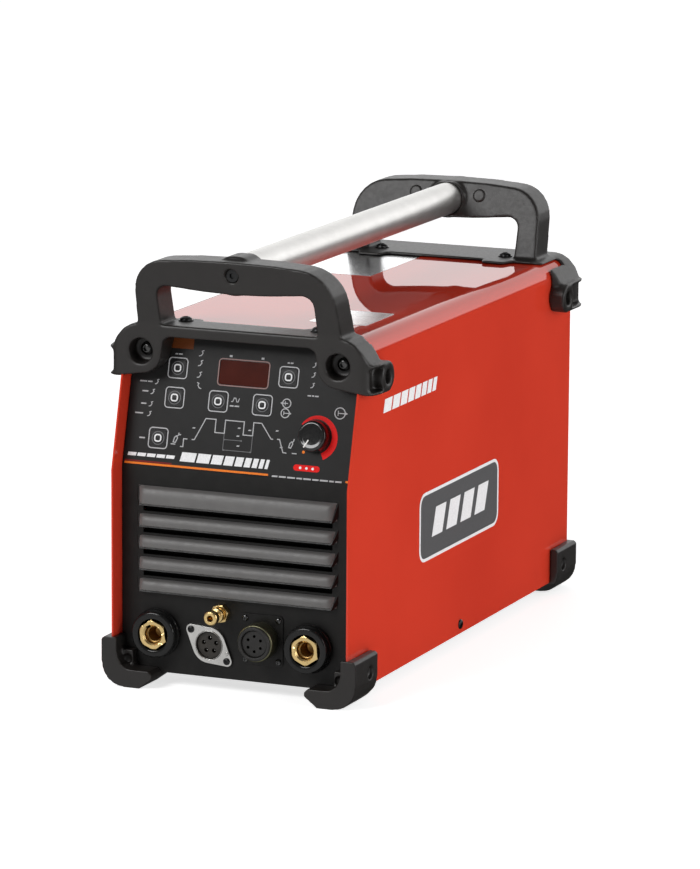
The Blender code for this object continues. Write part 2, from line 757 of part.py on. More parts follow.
def bumper_plan(front, flange, tab, wrap):
    """Plan view of the bumper; depths are measured inwards from the sleeve's end."""
    corner = 0.010
    side = BUMPER_HALF + 0.0010
    half = [(0.0, front)]
    half += arc(side - corner, front + corner, corner, -90, 0, 4)
    half += [(side, wrap), (0.1000, wrap + 0.003), (0.0900, flange)]
    half += [(TAB_X + 0.014, flange), (TAB_X + 0.010, tab), (TAB_X - 0.010, tab)]
    half += [(TAB_X - 0.014, flange), (0.0, flange)]
    return both_sides(half)


def lug_details(item, lug_y, start, side):
    """Adds one bumper end's side boss and the two lips that run to it, with a channel between."""
    scoop = rod("scoop", 0.0130, LUG_HEIGHT - LUG_RADIUS + FIN, LUG_HEIGHT + LUG_RADIUS - FIN,
                side * 0.1225, start + 0.0145, sides=20)
    cut(item, scoop)
    face = LUG_FACE - 0.0004
    lip = [(0.1030, start + 0.0040), (0.1125, start + 0.0022), (0.1168, start + 0.0058)]
    lip += [(face, start + 0.0140), (face, lug_y + 0.0040), (0.1030, lug_y + 0.0040)]
    outline = [(side * x, y) for x, y in lip]
    low = LUG_HEIGHT - LUG_RADIUS + 0.0002
    high = LUG_HEIGHT + LUG_RADIUS - 0.0002
    join(item, prism("lower_lip", outline, "plan", low, low + FIN))
    join(item, prism("upper_lip", outline, "plan", high - FIN, high))
    boss = sorted((side * (CASE_WIDTH / 2 - 0.0010), side * LUG_FACE))
    join(item, rod("boss", LUG_RADIUS, *boss, lug_y, LUG_HEIGHT, view="side", sides=20))
    hole = sorted((side * 0.1110, side * 0.1300))
    cut(item, rod("recess", 0.0062, *hole, lug_y, LUG_HEIGHT, view="side", sides=16))


def handle(end):
    """One end's moulding: bumper bar with corner lugs, leaning loop and socket for the tube.

    It is built for the front end with depths measured from the sleeve's end; the rear one is
    its mirror image around an upright sleeve edge.
    """
    front = end == "front"
    start = BUMPER_FRONT if front else -0.0030
    flange = 0.0500 if front else 0.0600
    tab = TOP_SCREW_INSET[end] + 0.0130 if front else 0.0720
    lug_y = 0.0480 if front else 0.0420
    item = prism(end + "_handle", bumper_outline(), "front", start - 0.02, lug_y + 0.04)
    plan = bumper_plan(start, flange, tab, lug_y - 0.0030 if front else lug_y + 0.0060)
    keep_inside(item, prism("plan", plan, "plan", 0.2, 0.4))
    for side in (-1, 1):
        lug_details(item, lug_y, start, side)
    loop = leaning_loop(HANDLE_TOP[end])
    loop.location.y = GRIP_INSET
    join(item, loop)
    boss = rounded(0.0350, 0.0324, 0.0150, 0.0, TUBE_HEIGHT - 0.0010, 4)
    join(item, prism("socket", boss, "front", 0.0106, 0.0350))
    cut(item, *case_space(front))
    bore = rod("bore", TUBE_RADIUS + GAP, TUBE_INSET - GAP, 0.08, 0.0, TUBE_HEIGHT, view="front",
               sides=28)
    cut(item, bore)
    cut(item, rod("bolt_hole", 0.0033, 0.0, 0.03, 0.0, TUBE_HEIGHT, view="front", sides=12))
    cut(item, rod("counterbore", 0.0058, -0.02, 0.0095, 0.0, TUBE_HEIGHT, view="front", sides=16))
    for side in (-1, 1):
        cut(item, rod("recess", 0.0105, start - 0.02, pod_seat(front), side * POD[0], POD[1],
                      view="front", sides=20))
        cut(item, rod("hole", 0.0030, 0.0, 0.06, side * POD[0], POD[1], view="front", sides=10))
    screws(item, TOP_SCREW_INSET[end])
    if front:
        item.data.transform(Matrix.Translation((0.0, FRONT, 0.0)))
    else:
        mirror_mesh(item, y=-1)
        item.data.transform(Matrix.Translation((0.0, BACK, 0.0)))
    return plastic(smooth(item, 30), CHARCOAL, 0.5)


def pod_seat(front):
    """Depth of the screw seat at the bottom of a pod's recess."""
    return 0.0320 if front else 0.0070


def case_space(front):
    """The room that the sleeve and the end panel take, for cutting a handle or a foot."""
    slope = slope_depth if front else (lambda height: 0.0)
    bottom = CASE_BOTTOM - GAP
    low = KINK if front else bottom
    band = sleeve_band("band", GAP, SHEET + GAP, bottom, -0.05, 0.12)
    nose = [(-0.06, 0.0), (-GAP, 0.0), (-GAP, low), (slope(0.32) - GAP, 0.32), (-0.06, 0.32)]
    cut(band, prism("nose", nose, "side", -0.16, 0.16))
    panel = RECESS - (0.0012 if front else GAP)
    inner = CASE_WIDTH / 2 - SHEET / 2
    top = CASE_TOP - SHEET / 2
    room = [(panel, bottom), (panel, low + 0.001), (panel + slope(top), top), (0.13, top),
            (0.13, bottom)]
    return [band, prism("room", room, "side", -inner, inner)]


def handle_tube():
    low = FRONT + TUBE_INSET
    high = BACK - TUBE_INSET
    ring = [circle(TUBE_RADIUS, STEPS, 0.0, TUBE_HEIGHT),
            circle(TUBE_RADIUS - TUBE_WALL, STEPS, 0.0, TUBE_HEIGHT)]
    item = plate("handle_tube", ring, -high, -low)
    item.data.transform(VIEWS["front"])
    return metal(smooth(item), (0.80, 0.80, 0.79), 0.35)


def tube_plug(end):
    """Threaded plug pressed into the tube's end, which the handle's bolt pulls on."""
    name = "tube_plug_" + end
    ring = [circle(TUBE_RADIUS - TUBE_WALL - GAP, 24, 0.0, TUBE_HEIGHT),
            circle(0.0033, 12, 0.0, TUBE_HEIGHT)]
    item = plate(name, ring, -0.0360, -0.0150)
    item.data.transform(VIEWS["front"])
    item.data.transform(end_matrix(end))
    if end == "rear":
        item.data.flip_normals()
    return metal(item)


def end_matrix(end):
    """Moves a piece given by its depth from the sleeve's end to the front or the rear."""
    if end == "front":
        return Matrix.Translation((0.0, FRONT, 0.0))
    return Matrix.Translation((0.0, BACK, 0.0)) @ Matrix.Diagonal((1, -1, 1, 1))


def handle_bolt(end):
    item = rod("handle_bolt_" + end, 0.0052, 0.0060, 0.0092, 0.0, TUBE_HEIGHT, "front", 20)
    join(item, rod("shank", 0.0030, 0.0080, 0.0300, 0.0, TUBE_HEIGHT, "front", 12))
    cut(item, rod("drive", 0.0026, 0.0, 0.0078, 0.0, TUBE_HEIGHT, "front", 6))
    item.data.transform(end_matrix(end))
    if end == "rear":
        item.data.flip_normals()
    return metal(item, (0.2, 0.2, 0.2), 0.35)


def top_screw(end, side):
    """Fixes a handle's tab and the cover to each other, from above."""
    inset = TOP_SCREW_INSET[end]
    y = FRONT + inset if end == "front" else BACK - inset
    name = "top_screw_" + end + ("_right" if side > 0 else "_left")
    item = rod(name, 0.0052, FLANGE_TOP + GAP, FLANGE_TOP + 0.0035, side * TAB_X, y, sides=20,
               top=0.0040)
    join(item, rod("shank", 0.0025, 0.2900, FLANGE_TOP + 0.0010, side * TAB_X, y, sides=10))
    cut(item, rod("drive", 0.0020, FLANGE_TOP + 0.0018, 0.32, side * TAB_X, y, sides=6))
    return metal(item, (0.05, 0.05, 0.05), 0.4)


# ---- feet ---------------------------------------------------------------------------------
def foot_outline():
    """Front view of the right foot: rounded outer corner, side wall and a lip to the inside."""
    outer = FOOT_HALF
    wall = 0.0995
    points = [(0.0680, 0.0085), (0.0790, 0.0)]
    points += arc(outer - FOOT_CORNER, FOOT_CORNER, FOOT_CORNER, -90, 0, 6)
    points += [(outer, FOOT_HEIGHT - 0.002), (outer - 0.002, FOOT_HEIGHT), (wall, FOOT_HEIGHT)]
    points += arc(wall - 0.014, 0.0290, 0.0140, 0, -90, 4)
    points += [(0.0710, 0.0150), (0.0680, 0.0125)]
    return points


def foot(end, side):
    name = "foot_" + end + ("_right" if side > 0 else "_left")
    item = prism(name, foot_outline(), "front", -FOOT_REACH, FOOT_LENGTH - FOOT_REACH)
    pocket = RECESS - GAP
    join(item, box("web", (0.0895, 0.1010), (0.0080, pocket + 0.001), (0.0060, 0.0290)))
    inner_end = FOOT_LENGTH - FOOT_REACH
    toe = [(inner_end - 0.012, -0.001), (inner_end + 0.01, -0.001), (inner_end + 0.01, 0.015),
           (inner_end - 0.001, 0.010)]
    cut(item, prism("toe", toe, "side", 0.0, 0.2))
    cut(item, *case_space(False))
    cut(item, rod("side_recess", 0.0055, 0.1090, 0.1300, 0.0290, 0.0260, view="side", sides=20))
    cut(item, rod("front_recess", 0.0040, 0.0, 0.0110, 0.0945, 0.0215, view="front", sides=16))
    if side < 0:
        mirror_mesh(item, x=-1)
    item.data.transform(end_matrix(end))
    if end == "rear":
        item.data.flip_normals()
    return plastic(smooth(item, 30), CHARCOAL, 0.55)


# ---- rear fittings ------------------------------------------------------------------------
def fan_frame():
    """Square fan housing behind the rear panel, with three struts that carry the motor."""
    depth = (-PANEL_WALL - GAP - FAN_DEPTH, -PANEL_WALL - GAP)
    body = rounded(FAN_SIZE, FAN_SIZE, 0.008, steps=3)
    item = plate("fan_frame", [body, circle(0.0555, 40)], *depth)
    hub = (depth[0], depth[0] + 0.006)
    join(item, rod("hub", 0.0200, *hub, sides=24))
    for index in range(3):
        strut = box("strut", (0.010, 0.0575), (-0.003, 0.003), (depth[0], depth[0] + 0.004))
        strut.data.transform(Matrix.Rotation(math.radians(90 + 120 * index), 4, "Z"))
        join(item, strut)
    return plastic(place(item, REAR, *FAN), BLACK, 0.5)


def fan_rotor():
    """Hub with seven pitched blades, turning on the housing's axis."""
    low = -PANEL_WALL - GAP - FAN_DEPTH + 0.0075
    high = -PANEL_WALL - GAP - 0.0060
    middle = (low + high) / 2
    item = rod("fan_rotor", 0.0205, low, high, sides=28)
    for index in range(7):
        blade = box("blade", (0.0150, 0.0530), (-0.0135, 0.0135), (-0.0010, 0.0010))
        blade.data.transform(Matrix.Rotation(math.radians(38), 4, "X"))
        blade.data.transform(Matrix.Rotation(2 * math.pi * index / 7, 4, "Z"))
        blade.data.transform(Matrix.Translation((0.0, 0.0, middle)))
        join(item, blade)
    return plastic(place(item, REAR, *FAN), (0.03, 0.03, 0.03), 0.4)


def fan_guard():
    """Wire guard: concentric rings lying on two crossed bars, over the rear opening."""
    reach = 0.0625
    item = box("fan_guard", (-reach, reach), (-0.0015, 0.0015), (GAP, 0.0016))
    join(item, box("bar", (-0.0015, 0.0015), (-reach, reach), (GAP, 0.0016)))
    for radius in (0.0160, 0.0300, 0.0440, 0.0580):
        ring = [circle(radius, 16), circle(radius - 0.0016, 16)]
        join(item, plate("ring", ring, 0.0010, 0.0028))
    item.data.transform(Matrix.Rotation(math.radians(45), 4, "Z"))
    return metal(place(item, REAR, *FAN), (0.75, 0.75, 0.76), 0.25)


def switch_body():
    """Bezel and box of the mains switch, hollow for the rocker."""
    bezel = rounded(0.0260, 0.0360, 0.003, steps=2)
    item = plate("switch_body", [bezel], GAP, 0.0024)
    join(item, box("box", (-0.0109, 0.0109), (-0.0159, 0.0159), (-0.0240, 0.0010)))
    cut(item, box("hollow", (-0.0092, 0.0092), (-0.0140, 0.0140), (-0.0140, 0.0100)))
    return plastic(place(item, REAR, *SWITCH), (0.015, 0.015, 0.015), 0.35)


def switch_rocker():
    """Rocker on its axle line; it rests with its lower half pressed in."""
    tilt = math.radians(-11.0)
    face = arc(0.0, 0.0260, 0.0205, 270 - 36, 270 + 36, 8)
    outline = [(0.0122, -0.0030), (0.0030, -0.0085), (-0.0030, -0.0085), (-0.0122, -0.0030)]
    outline += [(y, z) for y, z in face]
    item = prism("switch_rocker", outline, "side", -0.0087, 0.0087)
    item.data.transform(Matrix.Rotation(tilt, 4, "X"))
    return plastic(place(item, REAR, SWITCH[0], SWITCH[1], ROCKER_AXLE), (0.45, 0.02, 0.02), 0.3)


def cable_gland():
    """Strain relief in the rear wall for the mains cable, with its clamping nut."""
    profile = [(0.0060, 0.0190), (0.0095, 0.0190), (0.0125, 0.0160), (0.0135, 0.0100),
               (0.0135, GAP), (0.0101, GAP), (0.0101, -0.0150), (0.0060, -0.0150)]
    item = turned("cable_gland", profile, 20, closed=True)
    return plastic(smooth(place(item, REAR, *GLAND)), (0.02, 0.02, 0.02), 0.5)


def gas_inlet():
    """Threaded brass inlet with a nut on the wall and a hose barb inside."""
    profile = [(0.0025, 0.0190), (0.0062, 0.0190), (0.0066, 0.0182), (0.0066, 0.0080),
               (0.0052, 0.0070), (0.0052, -0.0040), (0.0036, -0.0050), (0.0036, -0.0100),
               (0.0042, -0.0110), (0.0030, -0.0160), (0.0025, -0.0160)]
    item = turned("gas_inlet", profile, 16, closed=True)
    join(item, plate("nut", [circle(0.0095, 6), circle(0.0040, 8)], GAP, 0.0060))
    return metal(place(item, REAR, *GAS_INLET), BRASS, 0.2)


# ---- inside -------------------------------------------------------------------------------
def heatsink():
    """Extruded comb along the air path, standing on the tray."""
    half = 0.048
    top = FLOOR + 0.070
    pitch = 2 * half / 9
    outline = [(-half, top), (-half, FLOOR)]
    for index in range(9):
        left = -half + index * pitch
        outline += [(left + 0.0022, FLOOR), (left + 0.0022, top - 0.008)]
        outline += [(left + pitch, top - 0.008), (left + pitch, FLOOR)]
    outline += [(half + 0.0022, FLOOR), (half + 0.0022, top)]
    item = prism("heatsink", outline, "front", FRONT + 0.230, FRONT + 0.425)
    return metal(item, ALUMINIUM, 0.45)


def power_board():
    """Circuit board on the heatsink, with its transistor row and a terminal block."""
    low = FLOOR + 0.070 + GAP
    item = box("power_board", (-0.085, 0.085), (FRONT + 0.215, FRONT + 0.435),
               (low, low + 0.0016))
    for index in range(4):
        y = FRONT + 0.245 + 0.045 * index
        join(item, box("switching", (-0.030, -0.010), (y, y + 0.016), (low + 0.001, low + 0.020)))
    join(item, box("terminals", (0.060, 0.078), (FRONT + 0.36, FRONT + 0.42),
                   (low + 0.001, low + 0.018)))
    return plastic(item, BOARD_GREEN, 0.4)


def capacitor(side):
    """Smoothing capacitor standing on the power board."""
    low = FLOOR + 0.070 + GAP + 0.0016 + GAP
    name = "capacitor_" + ("right" if side > 0 else "left")
    item = rod(name, 0.0175, low, low + 0.052, 0.030, FRONT + 0.285 + 0.026 * side - 0.010,
               sides=24)
    return plastic(item, (0.03, 0.03, 0.08), 0.35)


def transformer():
    """Ferrite core with its winding around the middle limb."""
    y0, y1 = FRONT + 0.125, FRONT + 0.195
    item = box("transformer", (-0.0450, 0.0350), (y0, y1), (FLOOR, FLOOR + 0.068))
    for x in (-0.0300, 0.0100):
        cut(item, box("window", (x, x + 0.0100), (y0 - 0.01, y1 + 0.01),
                      (FLOOR + 0.0140, FLOOR + 0.0540)))
    join(item, box("winding", (-0.0240, 0.0140), (y0 - 0.008, y1 + 0.008),
                   (FLOOR + 0.0150, FLOOR + 0.0530)))
    return plastic(item, (0.05, 0.03, 0.02), 0.6)


def choke():
    """Wound output choke: a ring lying on the tray."""
    profile = [(0.0110, 0.026), (0.0260, 0.026), (0.0300, 0.022), (0.0300, 0.004), (0.0260, 0.0),
               (0.0110, 0.0)]
    item = turned("output_choke", profile, 20, closed=True)
    item.data.transform(Matrix.Translation((0.068, FRONT + 0.160, FLOOR)))
    return metal(smooth(item), (0.55, 0.20, 0.08), 0.4)


def arc_starter():
    """High-frequency unit: a potted block on the tray behind the left socket."""
    item = box("arc_starter", (-0.098, -0.054), (FRONT + 0.070, FRONT + 0.160),
               (FLOOR, FLOOR + 0.050))
    join(item, rod("bobbin", 0.0160, FLOOR + 0.049, FLOOR + 0.072, -0.076, FRONT + 0.115,
                   sides=24))
    return plastic(item, (0.06, 0.06, 0.07), 0.5)


def gas_valve():
    """Solenoid valve on the right wall: block with two barbs and a coil with the plunger."""
    x, y, z = VALVE
    item = box("gas_valve", (x - 0.011, x + 0.011), (y - 0.016, y + 0.016),
               (z - 0.010, z + 0.010))
    join(item, rod("coil", 0.0125, z + 0.009, z + 0.042, x, y, sides=24))
    join(item, rod("barb", 0.0036, y - 0.028, y + 0.028, x, z, "front", 12))
    cut(item, rod("plunger_bore", 0.0053, z - 0.004, z + 0.060, x, y, sides=20))
    return metal(item, (0.45, 0.44, 0.42), 0.4)


def valve_plunger():
    x, y, z = VALVE
    item = rod("valve_plunger", 0.0050, 0.0, 0.0380, sides=20)
    item.location = (x, y, z - 0.0037)
    return metal(item, STEEL, 0.25)


def hose_out():
    """Gas hose from the valve's front barb along the right side to the outlet's barb."""
    x, y, z = VALVE
    outlet = (GAS_OUTLET[0], FRONT + RECESS + 0.0160, GAS_OUTLET[1])
    corners = [(x, y - 0.0290, z), (x + 0.010, y - 0.070, z), (x + 0.022, FRONT + 0.260, z - 0.010),
               (x + 0.022, FRONT + 0.120, z - 0.045), (x + 0.005, FRONT + 0.075, z - 0.090),
               (outlet[0] + 0.020, FRONT + 0.062, outlet[2] + 0.020),
               (outlet[0], outlet[1] + 0.018, outlet[2]), outlet]
    return hose("gas_hose_out", corners, 3)


def hose_in():
    """Gas hose from the inlet's barb to the valve's rear barb."""
    x, y, z = VALVE
    inlet = (-GAS_INLET[0], BACK - RECESS - 0.0170, GAS_INLET[1])
    corners = [inlet, (inlet[0], inlet[1] - 0.020, z), (x - 0.010, y + 0.052, z),
               (x, y + 0.040, z), (x, y + 0.0290, z)]
    return hose("gas_hose_in", corners, 3)


def hose(name, corners, steps):
    item = wire(name, smooth_route(corners, steps), 0.0050)
    return plastic(smooth(item), (0.02, 0.02, 0.025), 0.5)


clear_scene()
PARTS = new_collection("tig_welder")
UPRIGHT = Matrix.Rotation(math.pi / 2, 4, "X")
LOWER = new_frame("lower_front_frame", Matrix.Translation((0, FRONT + RECESS, 0)) @ UPRIGHT)
SLOPE = new_frame("slope_frame", Matrix.Translation((0, FRONT + RECESS, KINK))
                  @ Matrix.Rotation(math.pi / 2 - LEAN, 4, "X"))
REAR = new_frame("rear_frame", Matrix.Translation((0, BACK - RECESS, 0))
                 @ Matrix.Rotation(math.pi, 4, "Z") @ UPRIGHT)

cover()
base_tray()
front_panel()
rear_panel()
control_overlay()
display_window()
display_module()
keys()
knob()
potentiometer()
knob_shaft()
control_board()
for where in SOCKETS:
    socket_collar(where)
    socket_insert(where)
gas_outlet()
signal_flange()
signal_insert()
remote_shell()
remote_insert()
handle_tube()
for where in ("front", "rear"):
    handle(where)
    tube_plug(where)
    handle_bolt(where)
    for hand in (-1, 1):
        top_screw(where, hand)
        foot(where, hand)
fan_frame()
fan_rotor()
fan_guard()
switch_body()
switch_rocker()
cable_gland()
gas_inlet()
heatsink()
power_board()
capacitor(-1)
capacitor(1)
transformer()
choke()
arc_starter()
gas_valve()
valve_plunger()
hose_in()
hose_out()
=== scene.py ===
"""Looks of the TIG welder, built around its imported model.

+Z up, front towards -Y, right towards +X.  Three flat frames place most pieces, each with its
Z pointing out of the machine: LOWER is the upright part of the front panel, SLOPE the leaning
part above it, REAR the rear panel.  "u" runs across such a frame and "v" up it.

Places in the scene, edge widths and voxels are in metres.  Outlines, profiles, heights above a
frame and printed marks are in millimetres, and become metres where a mesh is made.
"""

import math

import bmesh
import bpy
from mathutils import Matrix, Vector


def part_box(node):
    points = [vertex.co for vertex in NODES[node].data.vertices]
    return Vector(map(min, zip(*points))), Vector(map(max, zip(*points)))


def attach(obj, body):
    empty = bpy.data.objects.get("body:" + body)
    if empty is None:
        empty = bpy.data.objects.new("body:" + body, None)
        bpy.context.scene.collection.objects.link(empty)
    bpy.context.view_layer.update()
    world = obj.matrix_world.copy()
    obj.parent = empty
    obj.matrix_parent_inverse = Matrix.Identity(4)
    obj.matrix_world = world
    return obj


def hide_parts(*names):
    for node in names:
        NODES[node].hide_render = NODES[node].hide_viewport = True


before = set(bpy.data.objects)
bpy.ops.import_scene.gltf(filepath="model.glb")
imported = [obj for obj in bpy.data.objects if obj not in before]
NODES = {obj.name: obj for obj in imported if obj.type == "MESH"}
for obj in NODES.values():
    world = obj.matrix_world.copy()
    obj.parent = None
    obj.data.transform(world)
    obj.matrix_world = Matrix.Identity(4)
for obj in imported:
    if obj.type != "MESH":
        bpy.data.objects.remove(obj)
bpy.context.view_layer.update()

MM = 0.001
GAP = 0.0003                    # room that touching parts keep
LEAN = math.radians(14.27)
KINK = 0.180
PANEL_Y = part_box("signal_flange")[1].y + GAP
REAR_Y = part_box("rear_panel")[1].y
CASE_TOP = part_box("cover")[1].z
CASE_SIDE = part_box("cover")[1].x

UPRIGHT = Matrix.Rotation(math.pi / 2, 4, "X")
LOWER = Matrix.Translation((0, PANEL_Y, 0)) @ UPRIGHT
SLOPE = Matrix.Translation((0, PANEL_Y, KINK)) @ Matrix.Rotation(math.pi / 2 - LEAN, 4, "X")
REAR = Matrix.Translation((0, REAR_Y, 0)) @ Matrix.Rotation(math.pi, 4, "Z") @ UPRIGHT


def spot(where, u, v, w=0.0, turn=0.0):
    """A place in a flat frame, turned about the frame's normal."""
    return where @ Matrix.Translation((u, v, w)) @ Matrix.Rotation(turn, 4, "Z")


def shifted(where, x, y, z):
    """A frame moved along its own axes, in millimetres."""
    return where @ Matrix.Translation((x * MM, y * MM, z * MM))


def polar(radius, angle, cx=0.0, cy=0.0):
    """A point at a distance and an angle in radians from a centre."""
    return cx + radius * math.cos(angle), cy + radius * math.sin(angle)


def in_mm(pair):
    return pair[0] / MM, pair[1] / MM


def facing(axis, x, y, z):
    """A place whose Z points along a world axis."""
    return Matrix.Translation((x, y, z)) @ Vector(axis).to_track_quat("Z", "Y").to_matrix().to_4x4()


def span(node, where):
    """Lowest and highest coordinates of a CAD node in a flat frame."""
    inverse = where.inverted()
    points = [inverse @ vertex.co for vertex in NODES[node].data.vertices]
    low = Vector([min(point[axis] for point in points) for axis in range(3)])
    high = Vector([max(point[axis] for point in points) for axis in range(3)])
    return low, high


def centre(node, where):
    low, high = span(node, where)
    return (low.x + high.x) / 2, (low.y + high.y) / 2


# ---- material helpers ----
def material(name, colour, roughness, metallic=0.0, coat=0.0, coat_roughness=0.03,
             specular=0.5, glow=0.0):
    made = bpy.data.materials.new(name)
    made.use_nodes = True
    values = {"Base Color": (*colour, 1.0), "Roughness": roughness, "Metallic": metallic,
              "Coat Weight": coat, "Coat Roughness": coat_roughness,
              "Specular IOR Level": specular}
    if glow:
        values.update({"Emission Color": (1.0, 1.0, 1.0, 1.0), "Emission Strength": glow})
    for field, value in values.items():
        shader_input(made, field).default_value = value
    return made


def shader_input(made, name):
    return made.node_tree.nodes["Principled BSDF"].inputs[name]


def new_node(tree, kind, values=()):
    """A node with constants on its inputs."""
    node = tree.nodes.new("ShaderNode" + kind)
    for name, value in values:
        node.inputs[name].default_value = value
    return node


def noise(made, scale, detail=3.0, stretch=(1.0, 1.0, 1.0)):
    """Noise in the object's own space; returns its value socket."""
    tree = made.node_tree
    place = new_node(tree, "TexCoord")
    mapping = new_node(tree, "Mapping", [("Scale", stretch)])
    texture = new_node(tree, "TexNoise", [("Scale", scale), ("Detail", detail)])
    tree.links.new(place.outputs["Object"], mapping.inputs["Vector"])
    tree.links.new(mapping.outputs["Vector"], texture.inputs["Vector"])
    return texture.outputs["Fac"]


def tint(made, factor, dark, light):
    """Base colour from dark to light along a value."""
    tree = made.node_tree
    ramp = new_node(tree, "ValToRGB")
    for stop, place, colour in zip(ramp.color_ramp.elements, (0.35, 0.65), (dark, light)):
        stop.position = place
        stop.color = (*colour, 1.0)
    tree.links.new(factor, ramp.inputs["Fac"])
    tree.links.new(ramp.outputs["Color"], shader_input(made, "Base Color"))


def remap(tree, value, start, end, low, high):
    """A value that goes from low to high as another goes from start to end."""
    spread = new_node(tree, "MapRange", [("From Min", start), ("From Max", end), ("To Min", low),
                                         ("To Max", high)])
    tree.links.new(value, spread.inputs["Value"])
    return spread


def vary_roughness(made, factor, low, high):
    spread = remap(made.node_tree, factor, 0.3, 0.7, low, high)
    made.node_tree.links.new(spread.outputs["Result"], shader_input(made, "Roughness"))


def bump(made, height, strength, distance):
    """Relief on the surface."""
    tree = made.node_tree
    relief = new_node(tree, "Bump", [("Strength", strength), ("Distance", distance)])
    tree.links.new(height, relief.inputs["Height"])
    tree.links.new(relief.outputs["Normal"], shader_input(made, "Normal"))


def shades(colour, amount):
    """A colour made darker and lighter by a share."""
    dark = tuple(part * (1 - amount) for part in colour)
    light = tuple(min(1.0, part * (1 + amount)) for part in colour)
    return dark, light


# ---- materials ----
def enamel():
    """Glossy red powder coat: faint cloudiness and orange peel under a clear surface."""
    made = material("red_enamel", (0.55, 0.037, 0.0165), 0.40, coat=0.85, coat_roughness=0.02,
                    specular=0.0)
    tint(made, noise(made, 6.0), (0.525, 0.034, 0.015), (0.575, 0.040, 0.018))
    vary_roughness(made, noise(made, 40.0), 0.36, 0.44)
    bump(made, noise(made, 420.0, 1.0), 0.03, 0.00005)
    return made


def moulded(name, colour, low=0.42, high=0.58, amount=0.18, grain=0.25, specular=0.5):
    """Moulded plastic with a fine eroded texture."""
    made = material(name, colour, 0.5, specular=specular)
    tint(made, noise(made, 90.0, 6.0), *shades(colour, amount))
    vary_roughness(made, noise(made, 300.0), low, high)
    bump(made, noise(made, 1500.0, 2.0), grain, 0.0002)
    return made


def gloss_plastic(name, colour, roughness):
    made = material(name, colour, roughness, coat=0.5, coat_roughness=0.06)
    tint(made, noise(made, 120.0, 4.0), *shades(colour, 0.1))
    vary_roughness(made, noise(made, 220.0), roughness * 0.8, roughness * 1.3)
    bump(made, noise(made, 700.0), 0.04, 0.0001)
    return made


def metal(name, colour, roughness, stretch=(1.0, 1.0, 1.0), scale=400.0, amount=0.08, grain=0.1):
    """Machined or rolled metal; the stretch lays its marks in one direction."""
    made = material(name, colour, roughness, 1.0)
    tint(made, noise(made, 60.0, 5.0), *shades(colour, amount))
    marks = noise(made, scale, 3.0, stretch)
    vary_roughness(made, marks, roughness * 0.75, roughness * 1.3)
    bump(made, marks, grain, 0.0001)
    return made


def window_glass():
    """Smoked red window, seen dark over the unlit display."""
    made = material("smoked_window", (0.060, 0.010, 0.006), 0.10, coat=0.3, coat_roughness=0.03,
                    specular=0.25)
    tint(made, noise(made, 60.0), (0.044, 0.007, 0.004), (0.056, 0.009, 0.005))
    return made


def ink(name, colour):
    """Screen-printed ink, a little uneven."""
    made = material(name, colour, 0.45, specular=0.15)
    tint(made, noise(made, 900.0, 3.0), *shades(colour, 0.08))
    bump(made, noise(made, 2500.0), 0.1, 0.00005)
    return made


def board_laminate():
    made = material("board_laminate", (0.02, 0.14, 0.06), 0.4, coat=0.4)
    tint(made, noise(made, 900.0, 2.0, (1.0, 6.0, 1.0)), (0.012, 0.10, 0.04), (0.03, 0.18, 0.08))
    return made


ALONG_Y = (30.0, 1.0, 30.0)
RINGS_Y = (1.0, 30.0, 1.0)
RED = enamel()
CHARCOAL = moulded("charcoal_moulding", (0.0128, 0.0108, 0.0098), 0.38, 0.44, 0.06)
PANEL_BLACK = moulded("panel_black", (0.0075, 0.0070, 0.0066), 0.34, 0.50, 0.15, 0.15, 0.25)
# Painted light: the slats are the panel's black plastic, drawn light grey for the light that falls
# on their upturned faces.
LIT_SLAT_GREY = moulded("slat_painted_light", (0.100, 0.097, 0.095), 0.40, 0.52, 0.05, 0.12)
OVERLAY = moulded("overlay_film", (0.0135, 0.0132, 0.0132), 0.30, 0.38, 0.06, 0.10, 0.15)
WINDOW = window_glass()
DISPLAY_BLACK = moulded("display_black", (0.012, 0.010, 0.010))
# Painted shade: a near-black sheet that stands in for the shadow inside the case behind the louvre
# slots.
SHADE_SHEET_BLACK = moulded("shade_sheet_black", (0.004, 0.004, 0.004), 0.6, 0.8, specular=0.1)
FAN_BLACK = moulded("fan_black", (0.016, 0.016, 0.017), 0.36, 0.50, 0.10, 0.08)
BLACK_GLOSS_METAL = metal("black_plated_screw", (0.10, 0.10, 0.10), 0.16, RINGS_Y)
PIN_METAL = metal("silver_pin", (0.78, 0.77, 0.74), 0.22)
KEY_BLACK = moulded("key_black", (0.010, 0.010, 0.0105), 0.30, 0.40, 0.10, 0.05, 0.25)
KNOB_BLACK = gloss_plastic("knob_black", (0.008, 0.008, 0.008), 0.10)
COLLAR_BLACK = moulded("collar_black", (0.0075, 0.0075, 0.0075), 0.12, 0.17, 0.10, 0.03, 0.35)
INSERT_BLACK = moulded("insert_black", (0.012, 0.011, 0.010))
DARK_RESIN = moulded("dark_resin", (0.022, 0.018, 0.014))
TRAY_STEEL = metal("tray_steel", (0.36, 0.36, 0.37), 0.42)
BRASS = metal("brass", (0.90, 0.66, 0.30), 0.26, RINGS_Y)
